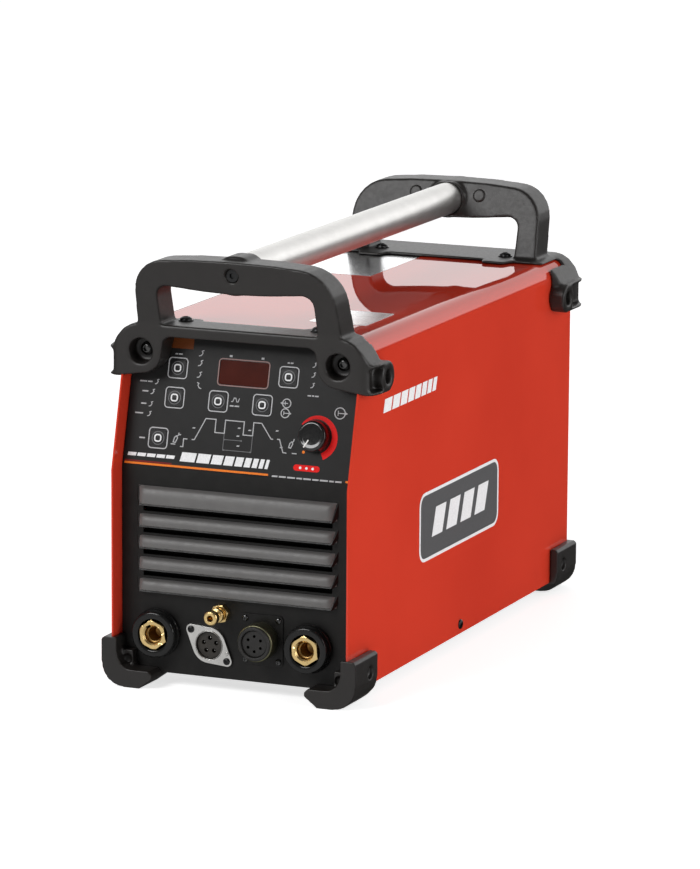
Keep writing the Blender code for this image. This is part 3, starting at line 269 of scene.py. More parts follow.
# Painted shade: brass darkened for the contact deep in each weld socket's bore.
BORE_SHADED_BRASS = metal("brass_painted_bore_shade", (0.38, 0.235, 0.085), 0.42, RINGS_Y)
BRIGHT_STEEL = metal("bright_steel", (0.66, 0.65, 0.63), 0.28, RINGS_Y)
DARK_STEEL = metal("black_screw", (0.045, 0.045, 0.046), 0.34, RINGS_Y)
CAST_ZINC = metal("cast_zinc", (0.72, 0.71, 0.69), 0.34, scale=900.0, grain=0.2)
OLIVE_SHELL = metal("olive_shell", (0.19, 0.185, 0.115), 0.40, RINGS_Y)
TUBE_METAL = metal("tube_aluminium", (0.80, 0.79, 0.77), 0.42, ALONG_Y, 260.0, 0.03, 0.06)
CHROME_WIRE = metal("plated_wire", (0.78, 0.78, 0.80), 0.16)
ALUMINIUM = metal("extruded_aluminium", (0.74, 0.74, 0.73), 0.42, ALONG_Y)
BOARD = board_laminate()
FERRITE = moulded("ferrite", (0.045, 0.040, 0.036), 0.6, 0.8)
COPPER = metal("lacquered_copper", (0.60, 0.22, 0.09), 0.3)
CAN_SLEEVE = gloss_plastic("capacitor_sleeve", (0.02, 0.02, 0.07), 0.3)
POTTING = moulded("potting", (0.05, 0.05, 0.06), 0.3, 0.5)
RUBBER = moulded("hose_rubber", (0.018, 0.018, 0.020), 0.5, 0.7)
ROCKER_RED = gloss_plastic("rocker_red", (0.42, 0.015, 0.012), 0.2)
WHITE_INK = ink("white_ink", (0.72, 0.72, 0.73))
SYMBOL_INK = ink("symbol_ink", (0.40, 0.40, 0.41))
GREY_INK = ink("grey_ink", (0.14, 0.14, 0.145))
PINK_INK = ink("window_edge_ink", (0.26, 0.17, 0.16))
RED_INK = ink("red_ink", (0.66, 0.006, 0.005))
DARK_RED_INK = ink("dark_red_ink", (0.16, 0.010, 0.008))
ORANGE_INK = ink("orange_ink", (0.72, 0.17, 0.015))
IVORY_INK = ink("ivory_ink", (0.80, 0.79, 0.76))
# An orange print under the bumper, darkened with painted shadow from the bumper above it.
SHADOWED_ORANGE_INK = ink("orange_ink_painted_shadow", (0.115, 0.030, 0.007))
BADGE_GREY = ink("badge_grey", (0.085, 0.085, 0.088))
LABEL_SILVER = metal("label_silver", (0.82, 0.82, 0.83), 0.20, scale=900.0, grain=0.03)


# ---- shading and edges ----
def shading_group():
    """Geometry nodes that shade smooth except across edges sharper than 35 degrees."""
    group = bpy.data.node_groups.new("smooth_by_angle", "GeometryNodeTree")
    for way in ("INPUT", "OUTPUT"):
        group.interface.new_socket("Geometry", in_out=way, socket_type="NodeSocketGeometry")
    kinds = ("NodeGroupInput", "GeometryNodeSetShadeSmooth", "GeometryNodeSetShadeSmooth",
             "NodeGroupOutput", "GeometryNodeInputMeshEdgeAngle", "FunctionNodeCompare")
    entry, faces, edges, leave, angle, sharper = [group.nodes.new(kind) for kind in kinds]
    edges.domain = "EDGE"
    edges.inputs["Shade Smooth"].default_value = False
    sharper.inputs[1].default_value = math.radians(35)
    for source, target in ((entry, faces), (faces, edges), (edges, leave)):
        group.links.new(source.outputs["Geometry"], target.inputs["Geometry"])
    group.links.new(angle.outputs["Unsigned Angle"], sharper.inputs[0])
    group.links.new(sharper.outputs["Result"], edges.inputs["Selection"])
    return group


SMOOTH_BY_ANGLE = shading_group()


def shade(item):
    item.modifiers.new("shade", "NODES").node_group = SMOOTH_BY_ANGLE


def bevel(item, width, segments):
    edge = item.modifiers.new("edge", "BEVEL")
    edge.width = width
    edge.segments = segments
    edge.limit_method = "ANGLE"
    edge.angle_limit = math.radians(32)
    edge.use_clamp_overlap = True


def keep_flats_flat(item):
    """Lets the large faces set the shading, so that a flat face beside a round edge stays flat."""
    item.modifiers.new("weights", "WEIGHTED_NORMAL").keep_sharp = True


def repainted(node, look):
    """A CAD node with its own material and with its doubled vertices joined."""
    item = NODES[node]
    item.data.materials.clear()
    item.data.materials.append(look)
    item.modifiers.new("weld", "WELD").merge_threshold = 0.00001
    return item


def finish(node, look, edge):
    """A CAD node with its own finish and, where asked, rounded edges."""
    item = repainted(node, look)
    if edge:
        flat = item.modifiers.new("merge_flat", "DECIMATE")
        flat.decimate_type = "DISSOLVE"
        flat.angle_limit = math.radians(0.3)
        bevel(item, edge, 2)
    shade(item)
    keep_flats_flat(item)


def soften(node, look, voxel, passes):
    """A moulded CAD node whose edges are all rounded, as a mould's are."""
    item = repainted(node, look)
    skin = item.modifiers.new("skin", "REMESH")
    skin.mode = "VOXEL"
    skin.voxel_size = voxel
    skin.use_smooth_shade = True
    ease = item.modifiers.new("ease", "SMOOTH")
    ease.factor = 0.5
    ease.iterations = passes


# ---- pieces in mesh code ----
def linked(name, data):
    """An object in the scene."""
    item = bpy.data.objects.new(name, data)
    bpy.context.scene.collection.objects.link(item)
    return item


def from_shape(name, shape):
    bmesh.ops.recalc_face_normals(shape, faces=shape.faces)
    mesh = bpy.data.meshes.new(name)
    shape.to_mesh(mesh)
    shape.free()
    return linked(name, mesh)


def corner(shape, where, x, y, z):
    """A vertex at a place in a frame, given in millimetres."""
    return shape.verts.new(where @ Vector((x * MM, y * MM, z * MM)))


def skin(shape, rows, closed=False):
    """Faces between each row of vertices and the next one."""
    for first, second in zip(rows, rows[1:]):
        count = len(first)
        for index in range(count if closed else count - 1):
            after = (index + 1) % count
            shape.faces.new((first[index], first[after], second[after], second[index]))


def dress(item, look, body="machine", edge=0.0, segments=2):
    """Gives a new piece its material, rounded edges and shading, and its CAD body."""
    item.data.materials.clear()
    item.data.materials.append(look)
    if edge:
        bevel(item, edge, segments)
    shade(item)
    if edge:
        keep_flats_flat(item)
    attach(item, body)
    return item


def carve(item, tool, operation="DIFFERENCE"):
    """Cuts another new piece out of one, or intersects them, and removes the other."""
    step = item.modifiers.new("carve", "BOOLEAN")
    step.operation = operation
    step.object = tool
    bpy.context.view_layer.update()
    depsgraph = bpy.context.evaluated_depsgraph_get()
    mesh = bpy.data.meshes.new_from_object(item.evaluated_get(depsgraph))
    item.modifiers.clear()
    item.data = mesh
    bpy.data.objects.remove(tool, do_unlink=True)


def arc(cx, cy, radius, start, end, steps):
    """Points along an arc, in degrees."""
    return [polar(radius, math.radians(start + (end - start) * step / steps), cx, cy)
            for step in range(steps + 1)]


def circle(cx, cy, radius, steps=32, turn=0.0):
    return arc(cx, cy, radius, turn, turn + 360.0 * (steps - 1) / steps, steps - 1)


def rounded(cx, cy, width, height, radius, steps=5):
    points = []
    for x, y, start in ((1, -1, -90), (1, 1, 0), (-1, 1, 90), (-1, -1, 180)):
        points += arc(cx + x * (width / 2 - radius), cy + y * (height / 2 - radius), radius,
                      start, start + 90, steps)
    return points


def prism(name, outlines, where, low, high):
    """Flat outlines of a frame, each made a solid from one height above it to another."""
    shape = bmesh.new()
    for outline in outlines:
        base = [corner(shape, where, u, v, low) for u, v in outline]
        top = [corner(shape, where, u, v, high) for u, v in outline]
        shape.faces.new(base)
        shape.faces.new(top)
        skin(shape, (base, top), True)
    return from_shape(name, shape)


def eased(profile, width, closed):
    """A profile whose corners are each cut to a short curve."""
    count = len(profile)
    points = []
    for index, (radius, height) in enumerate(profile):
        here = Vector((radius, height))
        if not closed and index in (0, count - 1):
            points.append(here)
            continue
        before = Vector(profile[index - 1])
        after = Vector(profile[(index + 1) % count])
        start, end = [here + way.normalized() * min(width, way.length * 0.45)
                      for way in (before - here, after - here)]
        for part in (0.0, 0.25, 0.5, 0.75, 1.0):
            points.append(start.lerp(here, part).lerp(here.lerp(end, part), part))
    return points


ON_AXIS = 1e-6                  # a profile's point nearer to the axis than this lies on it


def turned(name, profile, where, easing, steps):
    """A profile of (radius, height) points turned about a frame's Z.

    It starts and ends on the axis, or is a closed loop beside it.
    """
    closed = profile[0][0] > 0
    shape = bmesh.new()
    rings = []
    points = [(radius * MM, height * MM) for radius, height in profile]
    for radius, height in eased(points, easing * MM, closed):
        if radius < ON_AXIS:
            rings.append([shape.verts.new(where @ Vector((0, 0, height)))])
            continue
        places = [polar(radius, 2 * math.pi * step / steps) for step in range(steps)]
        rings.append([shape.verts.new(where @ Vector((*place, height))) for place in places])
    if closed:
        rings.append(rings[0])
    for first, second in zip(rings, rings[1:]):
        for step in range(steps):
            after = (step + 1) % steps
            corners = [first[step % len(first)], first[after % len(first)],
                       second[after % len(second)], second[step % len(second)]]
            corners = list(dict.fromkeys(corners))
            if len(corners) > 2:
                shape.faces.new(corners)
    return from_shape(name, shape)


def quads_between(pairs):
    """Quads that join each pair of points to the next pair."""
    return [[left, left_after, right_after, right]
            for (left, right), (left_after, right_after) in zip(pairs, pairs[1:])]


def stroke(points, width, closed=False):
    """Quads along a line of points, mitred where it bends."""
    last = len(points) - 1
    line = [Vector(point) for point in points]
    banks = []
    for index, here in enumerate(line):
        ways = []
        if closed or index > 0:
            ways.append((here - line[index - 1]).normalized())
        if closed or index < last:
            ways.append((line[index + 1 if index < last else 0] - here).normalized())
        normals = [Vector((-way.y, way.x)) for way in ways]
        offset = normals[0]
        if len(normals) == 2:
            offset = (normals[0] + normals[1]) / (1 + normals[0].dot(normals[1]))
        banks.append((tuple(here + offset * width / 2), tuple(here - offset * width / 2)))
    if closed:
        banks.append(banks[0])
    return quads_between(banks)


def screw_head(name, where, radius, height, look, drive="hex"):
    """A pan head with its drive recess, standing on a frame's plane."""
    profile = [(0.0, height), (radius * 0.55, height * 0.96), (radius * 0.88, height * 0.66),
               (radius, height * 0.28), (radius, 0.0), (0.0, 0.0)]
    item = turned(name, profile, where, radius * 0.10, 40)
    socket = circle(0, 0, radius * 0.46, 6)
    if drive == "cross":
        slim = radius * 0.11
        arm = [(radius * 0.62, -slim), (radius * 0.62, slim), (slim, slim)]
        socket = [(cos * x - sin * y, sin * x + cos * y)
                  for cos, sin in ((1, 0), (0, 1), (-1, 0), (0, -1)) for x, y in arm]
    carve(item, prism("recess", [socket], where, height * 0.35, height * 2))
    return dress(item, look)


# ---- printed control panel ----
FILM = 0.9                      # height of the film's face above the slope
INK = 0.12                      # thickness of a print
LINE = 0.8                      # widths of printed lines
FINE_LINE = 0.7
HAIR_LINE = 0.6
KNOB = centre("knob", SLOPE)
KNOB_MM = in_mm(KNOB)
DISPLAY = in_mm(centre("display_window", SLOPE))
KEYS = [node for node in NODES if node.startswith("key_")]
KEY_SPOTS = {node: in_mm(centre(node, SLOPE)) for node in KEYS}

CURVE = [
    [(-53, 20.5), (-50.5, 20.5), (-50.5, 27), (-47.2, 27)],
    [(-43.3, 27), (-41, 27), (-32.5, 45), (-23.5, 45), (-23.5, 34.3), (-15.1, 34.3), (-15.1, 45),
     (1.6, 45), (1.6, 34.3), (10, 34.3), (10, 45), (17, 45), (26.5, 33), (28.3, 33)],
    [(31.8, 33.3), (34, 33.3), (38, 23), (41.1, 22.8)],
    [(-61.5, 22), (-57.5, 22)],
    [(46, 23), (50, 23)],
]
MEASURES = [[(-15.1, 34.3), (-15.1, 20.5)], [(10, 34.3), (10, 20.5)], [(-15.1, 29.3), (1, 29.3)],
            [(-15.1, 20.8), (10, 20.8)]]
MEASURE_ENDS = [(-15, 29.3), (-0.1, 29.3), (-15, 20.8), (8.7, 20.8)]
PULSES = [(-12, 60.5), (-10.5, 60.5), (-9.5, 63.5), (-8, 63.5), (-7, 60.5), (-5.8, 60.5),
          (-4.8, 63.5)]
TICKS = [(-55.5, 30), (-43.5, 36.5), (30, 40), (35, 27), (6, 38.5), (-3.5, 39.5), (-4, 33),
         (-3, 25)]
MODE_MARKS = [(-42, 97.5, 2.4, 1), (-42, 89.5, 2.4, 1), (-42, 80, 2.4, 1), (-42, 71.2, 2.4, -1),
              (58.3, 95.5, 2, 1), (58.3, 87.5, 2, 1), (58.3, 79, 2, 1), (-79, 71.5, 2, 1),
              (-82, 63.2, 2, 1), (-82.5, 53, 2, 1), (-83, 45, 2, 1)]
LEGENDS = [(54.5, 70.5, (3, 1.8, 3.2)), (-94.5, 71.2, (6.2, 4)), (-91.5, 63.2, (5.2,)),
           (-91.5, 53, (4.6,)), (-96, 45, (7,)), (-65.5, 95.5, (2.2, 3.5)),
           (34.2, 95.5, (1.8, 2.4)), (-90, 25, (5,)), (-12.8, 57, (3.5, 4))]
ARROW_RINGS = [(37, 62.8, 3.6, -1), (36.5, 54.8, 3.6, 1), (84.2, 58.5, 4.5, 1)]
TORCHES = [(-58, 26.2, 2.8), (44, 29.8, 2.6)]


def printed(name, shapes, look, where=SLOPE, height=FILM, body="machine", rise=INK):
    """Flat marks on a face, as one thin layer of ink."""
    dress(prism(name, shapes, where, height - INK / 2, height + rise), look, body)


def ring_of(cx, cy, radius, width, steps=28):
    return stroke(circle(cx, cy, radius, steps), width, True)


def box_of(cx, cy, size, width, radius, height=None):
    return stroke(rounded(cx, cy, size, height or size, radius), width, True)


def bar(u, v, length, width, slant=0.0):
    """A level bar that starts at u and is centred on v."""
    return [(u - slant / 2, v - width / 2), (u + length - slant / 2, v - width / 2),
            (u + length + slant / 2, v + width / 2), (u + slant / 2, v + width / 2)]


def bar_row(u, v, lengths, gap=0.8, width=1.1, slant=0.2):
    """A row of slanted bars that stands where a word or a name was."""
    shapes = []
    for length in lengths:
        shapes.append(bar(u, v, length, width, slant))
        u += length + gap
    return shapes


def placed(points, cx, cy, size, way=1):
    """A small drawing's points at a place on the film, mirrored where way is -1."""
    return [(cx + way * x * size, cy + y * size) for x, y in points]


def arrow_ring(cx, cy, radius, way):
    """A ring with an arrow through its side: a signal that goes in or out."""
    root = cx + way * radius * 1.05
    post = cx - radius * 0.35
    return (ring_of(cx, cy, radius, LINE)
            + stroke([(cx - way * radius * 0.3, cy), (root, cy)], FINE_LINE)
            + [[(root, cy - 1.1), (cx + way * radius * 1.55, cy), (root, cy + 1.1)]]
            + stroke([(post, cy - radius * 0.45), (post, cy + radius * 0.45)], HAIR_LINE))


def torch_mark(*place):
    """A small outline of a slanted torch head with its cable."""
    head = [(-0.55, -0.9), (0.15, -1.0), (0.75, 0.35), (0.35, 0.95), (-0.25, 0.45)]
    cable = [(0.5, 0.75), (0.95, 1.25), (1.05, 1.9)]
    return stroke(placed(head, *place), LINE, True) + stroke(placed(cable, *place), LINE)


def mode_mark(*place):
    """A small bent line with a foot, for one trigger or torch mode."""
    line = [(-1.0, -1.0), (-0.2, -0.8), (0.35, 0.1), (0.0, 0.7), (0.7, 1.0)]
    return stroke(placed(line, *place), FINE_LINE)


def panel_symbols():
    """Symbols, legends and the arc's current curve."""
    shapes = stroke(PULSES, HAIR_LINE)
    for draw, places in ((mode_mark, MODE_MARKS), (bar_row, LEGENDS), (arrow_ring, ARROW_RINGS),
                         (torch_mark, TORCHES)):
        for place in places:
            shapes += draw(*place)
    for points in CURVE:
        shapes += stroke(points, LINE)
    shapes += [bar(u, 97.2, 2.4, 1.6) for u in (-17.2, 11.0)]
    shapes += [bar(u, v, 2.2, 1.0, 0.6) for u, v in TICKS]
    return shapes


def panel_lines():
    """Thin measuring lines under the curve, with small square ends."""
    shapes = [bar(u, v, 1.2, 1.2) for u, v in MEASURE_ENDS]
    for points in MEASURES:
        shapes += stroke(points, 0.5)
    return shapes


def crescent():
    """The dial's scale: a band that starts thin and widens clockwise."""
    steps = 60
    banks = []
    for step in range(steps + 1):
        part = step / steps
        angle = math.radians(145.0 - 210.0 * part)
        banks.append((polar(16.0 + 3.8 * min(1.0, part * 1.25), angle, *KNOB_MM),
                      polar(14.2, angle, *KNOB_MM)))
    return quads_between(banks)


def control_prints():
    printed("panel_symbols", panel_symbols(), SYMBOL_INK)
    printed("panel_lines", panel_lines(), GREY_INK)
    frames = [box_of(*place, 16.6, 0.9, 2.8) for place in KEY_SPOTS.values()]
    printed("key_outlines", sum(frames, []), SYMBOL_INK)
    printed("window_outline", box_of(*DISPLAY, 44.6, 0.9, 2.8, 21.6), PINK_INK)
    printed("dial_scale", crescent(), RED_INK)
    zero = polar(16.0, math.radians(235.0), *KNOB_MM)
    printed("dial_zero", [circle(*zero, 1.2, 24)], ORANGE_INK)
    printed("orange_line", [bar(-101, 4, 128, 1.7), bar(95, 4, 4.8, 1.6)], ORANGE_INK)
    address = bar_row(30.5, 3.4, (5, 6, 7, 5, 6.5, 5.5, 7, 4, 5.5), 1.2, 1.3)
    printed("address_bars", address, SYMBOL_INK)
    printed("red_line", [bar(-101, 5.8, 42, 1.2)], DARK_RED_INK)
    model = bar_row(-51.2, 12.3, (13, 11.2, 9.5, 8, 6.6, 5.4, 4.4, 3.5, 2.7), 1.7, 7.6, 1.6)
    printed("model_stripe", model, WHITE_INK)
    printed("series_stripe", bar_row(-98.65, 11.2, (7.4,) * 5, 1.2, 2.8, 0.7), WHITE_INK)
    # The block is orange print darkened by painted shadow from the bumper above.
    printed("status_block", [bar(-70, 104.5, 20, 9)], SHADOWED_ORANGE_INK)
    printed("maker_pill", [rounded(60, 12, 23, 5, 2.4)], RED_INK)
    printed("maker_dots", [circle(u, 12, 1.1, 20) for u in (54.5, 60, 65.5)], WHITE_INK,
            height=FILM + INK)


def key_prints():
    """Each key's two rings, which go down with its cap."""
    for node, place in KEY_SPOTS.items():
        body = node + "_cap"
        name = node[4:]
        printed("ring_" + name, ring_of(*place, 5.3, 0.6), GREY_INK, height=1.2, body=body)
        printed("mark_" + name, box_of(*place, 5.3, 1.1, 1.8), WHITE_INK, height=1.4, body=body,
                rise=0.4)


def dial():
    """The knob with a polished, slightly dished top, and its pointer."""
    where = spot(SLOPE, *KNOB)
    profile = [(0, 10.2), (7.8, 10.4), (10.4, 10.7), (11.7, 10.1), (12.4, 8.8), (12.8, 4),
               (13.4, 3), (13.4, 1.4), (3.3, 1.4), (3.3, 8.4), (0, 8.4)]
    knob = dress(turned("dial_knob", profile, where, 0.6, 96), KNOB_BLACK, "dial")
    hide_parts("knob")
    pin = [(0, 8.2), (2.6, 8.2), (3, 7.8), (3, -4), (0, -4)]
    shaft = dress(turned("dial_shaft", pin, where, 0.2, 40), ALUMINIUM, "dial")
    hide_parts("knob_shaft")
    line = [polar(radius, math.radians(240.0)) for radius in (4.0, 11.2)]
    item = prism("dial_pointer", stroke(line, 1.0), where, 9.8, 10.9)
    dress(item, IVORY_INK, "dial", 0.0001)


# ---- connectors ----
PANEL_GAP = GAP / MM            # where a fitting's flange starts, above its panel
SIGNAL_SPOT = centre("signal_insert", LOWER)
SIGNAL_BODY = 15.0              # the flange's round middle, its ears and how far out they are
SIGNAL_EAR = 4.4
SIGNAL_REACH = 20.0
SIGNAL_PITCH = 5.8              # radius of the ring of pins
SIGNAL_TURN = math.radians(-37.0)
REMOTE_SPOT = centre("remote_insert", LOWER)
GAS_SPOT = centre("gas_outlet", LOWER)


def weld_socket(side):
    """Black collar, six-sided brass insert with its keyway and cam, and the contact inside."""
    u, v = centre("socket_collar_" + side, LOWER)
    where = spot(LOWER, u, v)
    profile = [(13.1, 10.4), (15, 11), (18, 11), (19.2, 9.8), (19.6, 7), (19.6, 4.6), (20.5, 3.4),
               (20.5, 0.3), (14.7, 0.3), (14.7, -14), (13.1, -14)]
    collar = dress(turned("collar_" + side, profile, where, 0.8, 96), COLLAR_BLACK)
    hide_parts("socket_collar_" + side)
    hexagon = circle(0, 0, 12.7, 6, 98.0 if side == "left" else 94.0)
    insert = prism("insert_" + side, [hexagon], where, -24, 11.2)
    limit = [(0, 11.2), (11.5, 11.2), (12.8, 10.2), (12.8, -24), (0, -24)]
    carve(insert, turned("limit", limit, where, 0.1, 48), operation="INTERSECT")
    hole = [(0, 20), (8.8, 20), (8.6, 11.2), (7.4, 10), (6.8, 8), (6.8, -10), (0, -13)]
    carve(insert, turned("bore", hole, where, 0.2, 48))
    groove = spot(LOWER, u, v, 0.0, math.radians(28.0))
    key = [(-2.6, 0), (-2.2, 8.6), (2.2, 8.6), (2.6, 0)]
    carve(insert, prism("keyway", [key], groove, -6, 15))
    cam = arc(0, 0, 8.3, -10, 60, 10) + [(2, 4), (2, -1)]
    carve(insert, prism("cam", [cam], groove, -4, 6.8))
    dress(insert, BRASS, edge=0.00025)
    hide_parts("socket_insert_" + side)
    # The contact's darker brass is painted shade inside the deep bore.
    lining = [(0, -11), (5.8, -8), (5.8, 6), (6.7, 6.6), (6.7, -9.8), (0, -12.6)]
    dress(turned("contact_" + side, lining, where, 0.2, 48), BORE_SHADED_BRASS)


def hex_nut(name, where, radius, turn, crown, shoulder, foot):
    """Six-sided brass nut whose corners are turned down at both ends."""
    height = 6.0
    nut = prism(name, [circle(0, 0, radius, 6, turn)], where, PANEL_GAP, height)
    limit = [(0, height), (crown, height), (radius, shoulder), (radius, 1), (foot, PANEL_GAP),
             (0, PANEL_GAP)]
    carve(nut, turned("chamfer", limit, where, 0.1, 48), operation="INTERSECT")
    dress(nut, BRASS, edge=0.0002)


def gas_coupling():
    """Brass quick coupling: hose barb, six-sided nut, waisted stem and a ribbed, bored nose."""
    where = spot(LOWER, *GAS_SPOT)
    profile = [(2.6, 24), (5, 24), (5.9, 23.1), (6.1, 22.2), (6.1, 18.2), (5.4, 17), (3.6, 16),
               (3.6, 12.8), (5.8, 12.2), (6.2, 11.4), (6.2, 9.6), (5.6, 8.8), (4.6, 8.2),
               (4.6, -3), (3.6, -4), (3.6, -9), (4.2, -10), (3.3, -15), (2.6, -15)]
    stem = dress(turned("gas_nose", profile, where, 0.4, 64), BRASS)
    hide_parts("gas_outlet")
    hex_nut("gas_nut", where, 8.0, 12.0, 6.9, 5.3, 7.4)


def signal_flange():
    """Outline about a socket's round body and its two ears."""
    ear = math.degrees(math.acos((SIGNAL_BODY - SIGNAL_EAR) / SIGNAL_REACH))
    return (arc(SIGNAL_REACH, 0, SIGNAL_EAR, -ear, ear, 12)
            + arc(0, 0, SIGNAL_BODY, ear, 180 - ear, 16)
            + arc(-SIGNAL_REACH, 0, SIGNAL_EAR, 180 - ear, 180 + ear, 12)
            + arc(0, 0, SIGNAL_BODY, 180 + ear, 360 - ear, 16))


def signal_socket():
    """Diamond-flanged socket: thin rim, dark insert, pins, screws and a rivet."""
    where = spot(LOWER, *SIGNAL_SPOT, 0.0, SIGNAL_TURN)
    face = 2.8
    plate = prism("signal_plate", [signal_flange()], where, PANEL_GAP, face)
    bores = [circle(0, 0, 12.3, 64), circle(SIGNAL_REACH, 0, 2.1, 24),
             circle(-SIGNAL_REACH, 0, 2.1, 24)]
    carve(plate, prism("bores", bores, where, -10, 10))
    dress(plate, CAST_ZINC, edge=0.0004)
    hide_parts("signal_flange")
    rim = [(12.2, 2.9), (11.9, 3.3), (11.5, 2.9), (11.5, -5), (12.2, -5)]
    dress(turned("cup_rim", rim, where, 0.3, 80), BRIGHT_STEEL)
    core = [(0, 0.4), (11, 0.4), (11.4, -0.2), (11.4, -12), (0, -12)]
    body = turned("signal_core", core, where, 0.2, 64)
    angles = [math.radians(-53 + 72 * index) for index in range(5)]
    wells = [circle(*polar(SIGNAL_PITCH, angle - SIGNAL_TURN), 1.9, 20) for angle in angles]
    carve(body, prism("wells", wells, where, -6, 4))
    dress(body, DARK_RESIN)
    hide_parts("signal_insert")
    shape = [(0, -1), (0.6, -1.4), (0.9, -2.2), (0.9, -9), (0, -9)]
    for index, angle in enumerate(angles):
        pin = spot(LOWER, *polar(SIGNAL_PITCH * MM, angle, *SIGNAL_SPOT))
        dress(turned("signal_pin_%d" % index, shape, pin, 0.2, 24), PIN_METAL)
    for index, ear in enumerate((-SIGNAL_REACH, SIGNAL_REACH)):
        screw_head("signal_screw_%d" % index, shifted(where, ear, 0, face), 3.0, 1.4, DARK_STEEL,
                   "cross")
    rivet = [(0, 0.8), (1.4, 0.6), (1.8, 0), (0, 0)]
    dress(turned("signal_rivet", rivet, shifted(where, 16.2, 5.2, face), 0.3, 24), BRIGHT_STEEL)


def remote_socket():
    """Black square flange, ribbed olive barrel whose mouth holds a black ring, painted shade of its
    rounded front edge, and the six-contact insert.
    """
    where = spot(LOWER, *REMOTE_SPOT)
    face = 1.3
    flange = prism("remote_flange", [rounded(0, 0, 37, 42, 3)], where, PANEL_GAP, face)
    carve(flange, prism("opening", [circle(0, 0, 12.5, 64)], where, -10, 10))
    dress(flange, PANEL_BLACK, edge=0.0002)
    profile = [(12, 16.4), (14.7, 16.4), (15.4, 15.6), (15.7, 13.8), (15.7, 5.6), (14.8, 4.8),
               (14.8, 1), (12, 1)]
    barrel = dress(turned("remote_barrel", profile, where, 0.4, 96), OLIVE_SHELL)
    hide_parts("remote_shell")
    # Painted shade: a black ring in the barrel's mouth, where its rounded front edge turns away
    # from the lights.
    lining = [(14.3, 16), (14.3, 17.6), (13.4, 18.6), (12, 18.6), (11.4, 18.2), (11, 15), (11, 14)]
    dress(turned("remote_mouth_shade_ring", lining, where, 0.3, 80), INSERT_BLACK)
    core = [(0, 16.6), (10.6, 16.6), (11.2, 16), (11.2, -12), (0, -12)]
    insert = turned("remote_core", core, where, 0.3, 64)
    for index in range(6):
        hole = circle(*polar(6.3, math.radians(30 + 60 * index)), 1.3, 20)
        carve(insert, prism("contact", [hole], where, 8, 20))
    dress(insert, INSERT_BLACK)
    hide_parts("remote_insert")
    for index, (u, v) in enumerate(((-14.7, 17.2), (14.7, 17.2), (14.7, -17.2), (-14.7, -17.2))):
        screw_head("remote_screw_%d" % index, shifted(where, u, v, face), 2.6, 1.6,
                   BLACK_GLOSS_METAL, "cross")


# ---- louvres ----
LOUVRE_HALF = 88.0              # half of a slat's length
LOUVRE_REACH = 6.0              # how far a slat stands out at its lower lip
LOUVRE_END = 5.0                # length over which an end falls back
LOUVRES = [(152.2 - 18.0 * index, 8.8 if index else 14.0) for index in range(5)]


def louvre(index, low, height):
    """A pressed slat: it bulges towards its lower lip and its ends fall back in a curve. Its light
    grey is painted light: the panel's black plastic drawn lighter for the light falling on its
    upturned face.
    """
    columns = 56
    rows = 10
    shape = bmesh.new()
    grid = []
    for row in range(rows + 1):
        up = row / rows
        line = []
        for column in range(columns + 1):
            side = 2 * column / columns - 1
            end_room = (1 - abs(side)) * LOUVRE_HALF
            fade = math.sin(min(1.0, end_room / LOUVRE_END) * math.pi / 2)
            bulge = LOUVRE_REACH * math.sqrt(max(0.0, 1 - up ** 2.4)) * fade
            line.append((side * LOUVRE_HALF, low + height * up, bulge + 0.15))
        grid.append(line)
    lip = [(u, v - 0.8, max(0.15, w - 1.2)) for u, v, w in grid[0]]
    under = [(u, v + 0.4, 0.1) for u, v, w in lip]
    skin(shape, [[corner(shape, LOWER, *point) for point in line] for line in [under, lip] + grid])
    item = from_shape("louvre_slat_%d" % (index + 1), shape)
    item.data.materials.append(LIT_SLAT_GREY)
    for polygon in item.data.polygons:
        polygon.use_smooth = True
    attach(item, "machine")


def shade_screen_behind_slots():
    """Dark woven sheet behind the slots: painted shade, standing in for the shadow inside the case
    seen through them.
    """
    shape = bmesh.new()
    columns = 44
    rows = 24
    grid = []
    for row in range(rows + 1):
        grid.append([corner(shape, LOWER, -86 + 172 * column / columns, 70 + 86 * row / rows,
                            -8 + 0.5 * (-1) ** (row + column)) for column in range(columns + 1)])
    skin(shape, grid)
    screen = from_shape("shade_screen_behind_slots", shape)
    thick = screen.modifiers.new("thick", "SOLIDIFY")
    thick.thickness = 0.0006
    dress(screen, SHADE_SHEET_BLACK)


# ---- case details ----
SIDES = (("left", -1), ("right", 1))
ENDS = (("front", -1), ("rear", 1))
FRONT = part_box("cover")[0].y
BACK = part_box("cover")[1].y
SIDE_SCREW = (FRONT + 0.244, 0.0193)
POD = (0.087, 0.277)            # x and z of the recess in each bumper end
POD_SEAT = {"front": FRONT + 0.0320, "rear": BACK - 0.0070}


def case_screws():
    for end, _ in ENDS:
        for side, _ in SIDES:
            node = "top_screw_%s_%s" % (end, side)
            low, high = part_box(node)
            where = facing((0, 0, 1), (low.x + high.x) / 2, (low.y + high.y) / 2, high.z - 0.0032)
            head = screw_head(node + "_head", where, 5.2, 3.2, DARK_STEEL)
            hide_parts(node)
            washer = [(2.6, 0), (6.2, 0), (6.2, -0.7), (2.6, -0.7)]
            dress(turned(node + "_washer", washer, shifted(where, 0, 0, 0.5), 0.2, 40), DARK_STEEL)
    for side, way in SIDES:
        where = facing((way, 0, 0), way * CASE_SIDE, *SIDE_SCREW)
        screw_head("side_screw_" + side, where, 4.2, 2.0, DARK_STEEL)


def pod_screws():
    """Screws at the bottom of the bumper ends' recesses."""
    for end, out in ENDS:
        for side, way in SIDES:
            where = facing((0, out, 0), way * POD[0], POD_SEAT[end], POD[1])
            screw_head("pod_screw_%s_%s" % (end, side), where, 5.6, 3.6, BLACK_GLOSS_METAL)


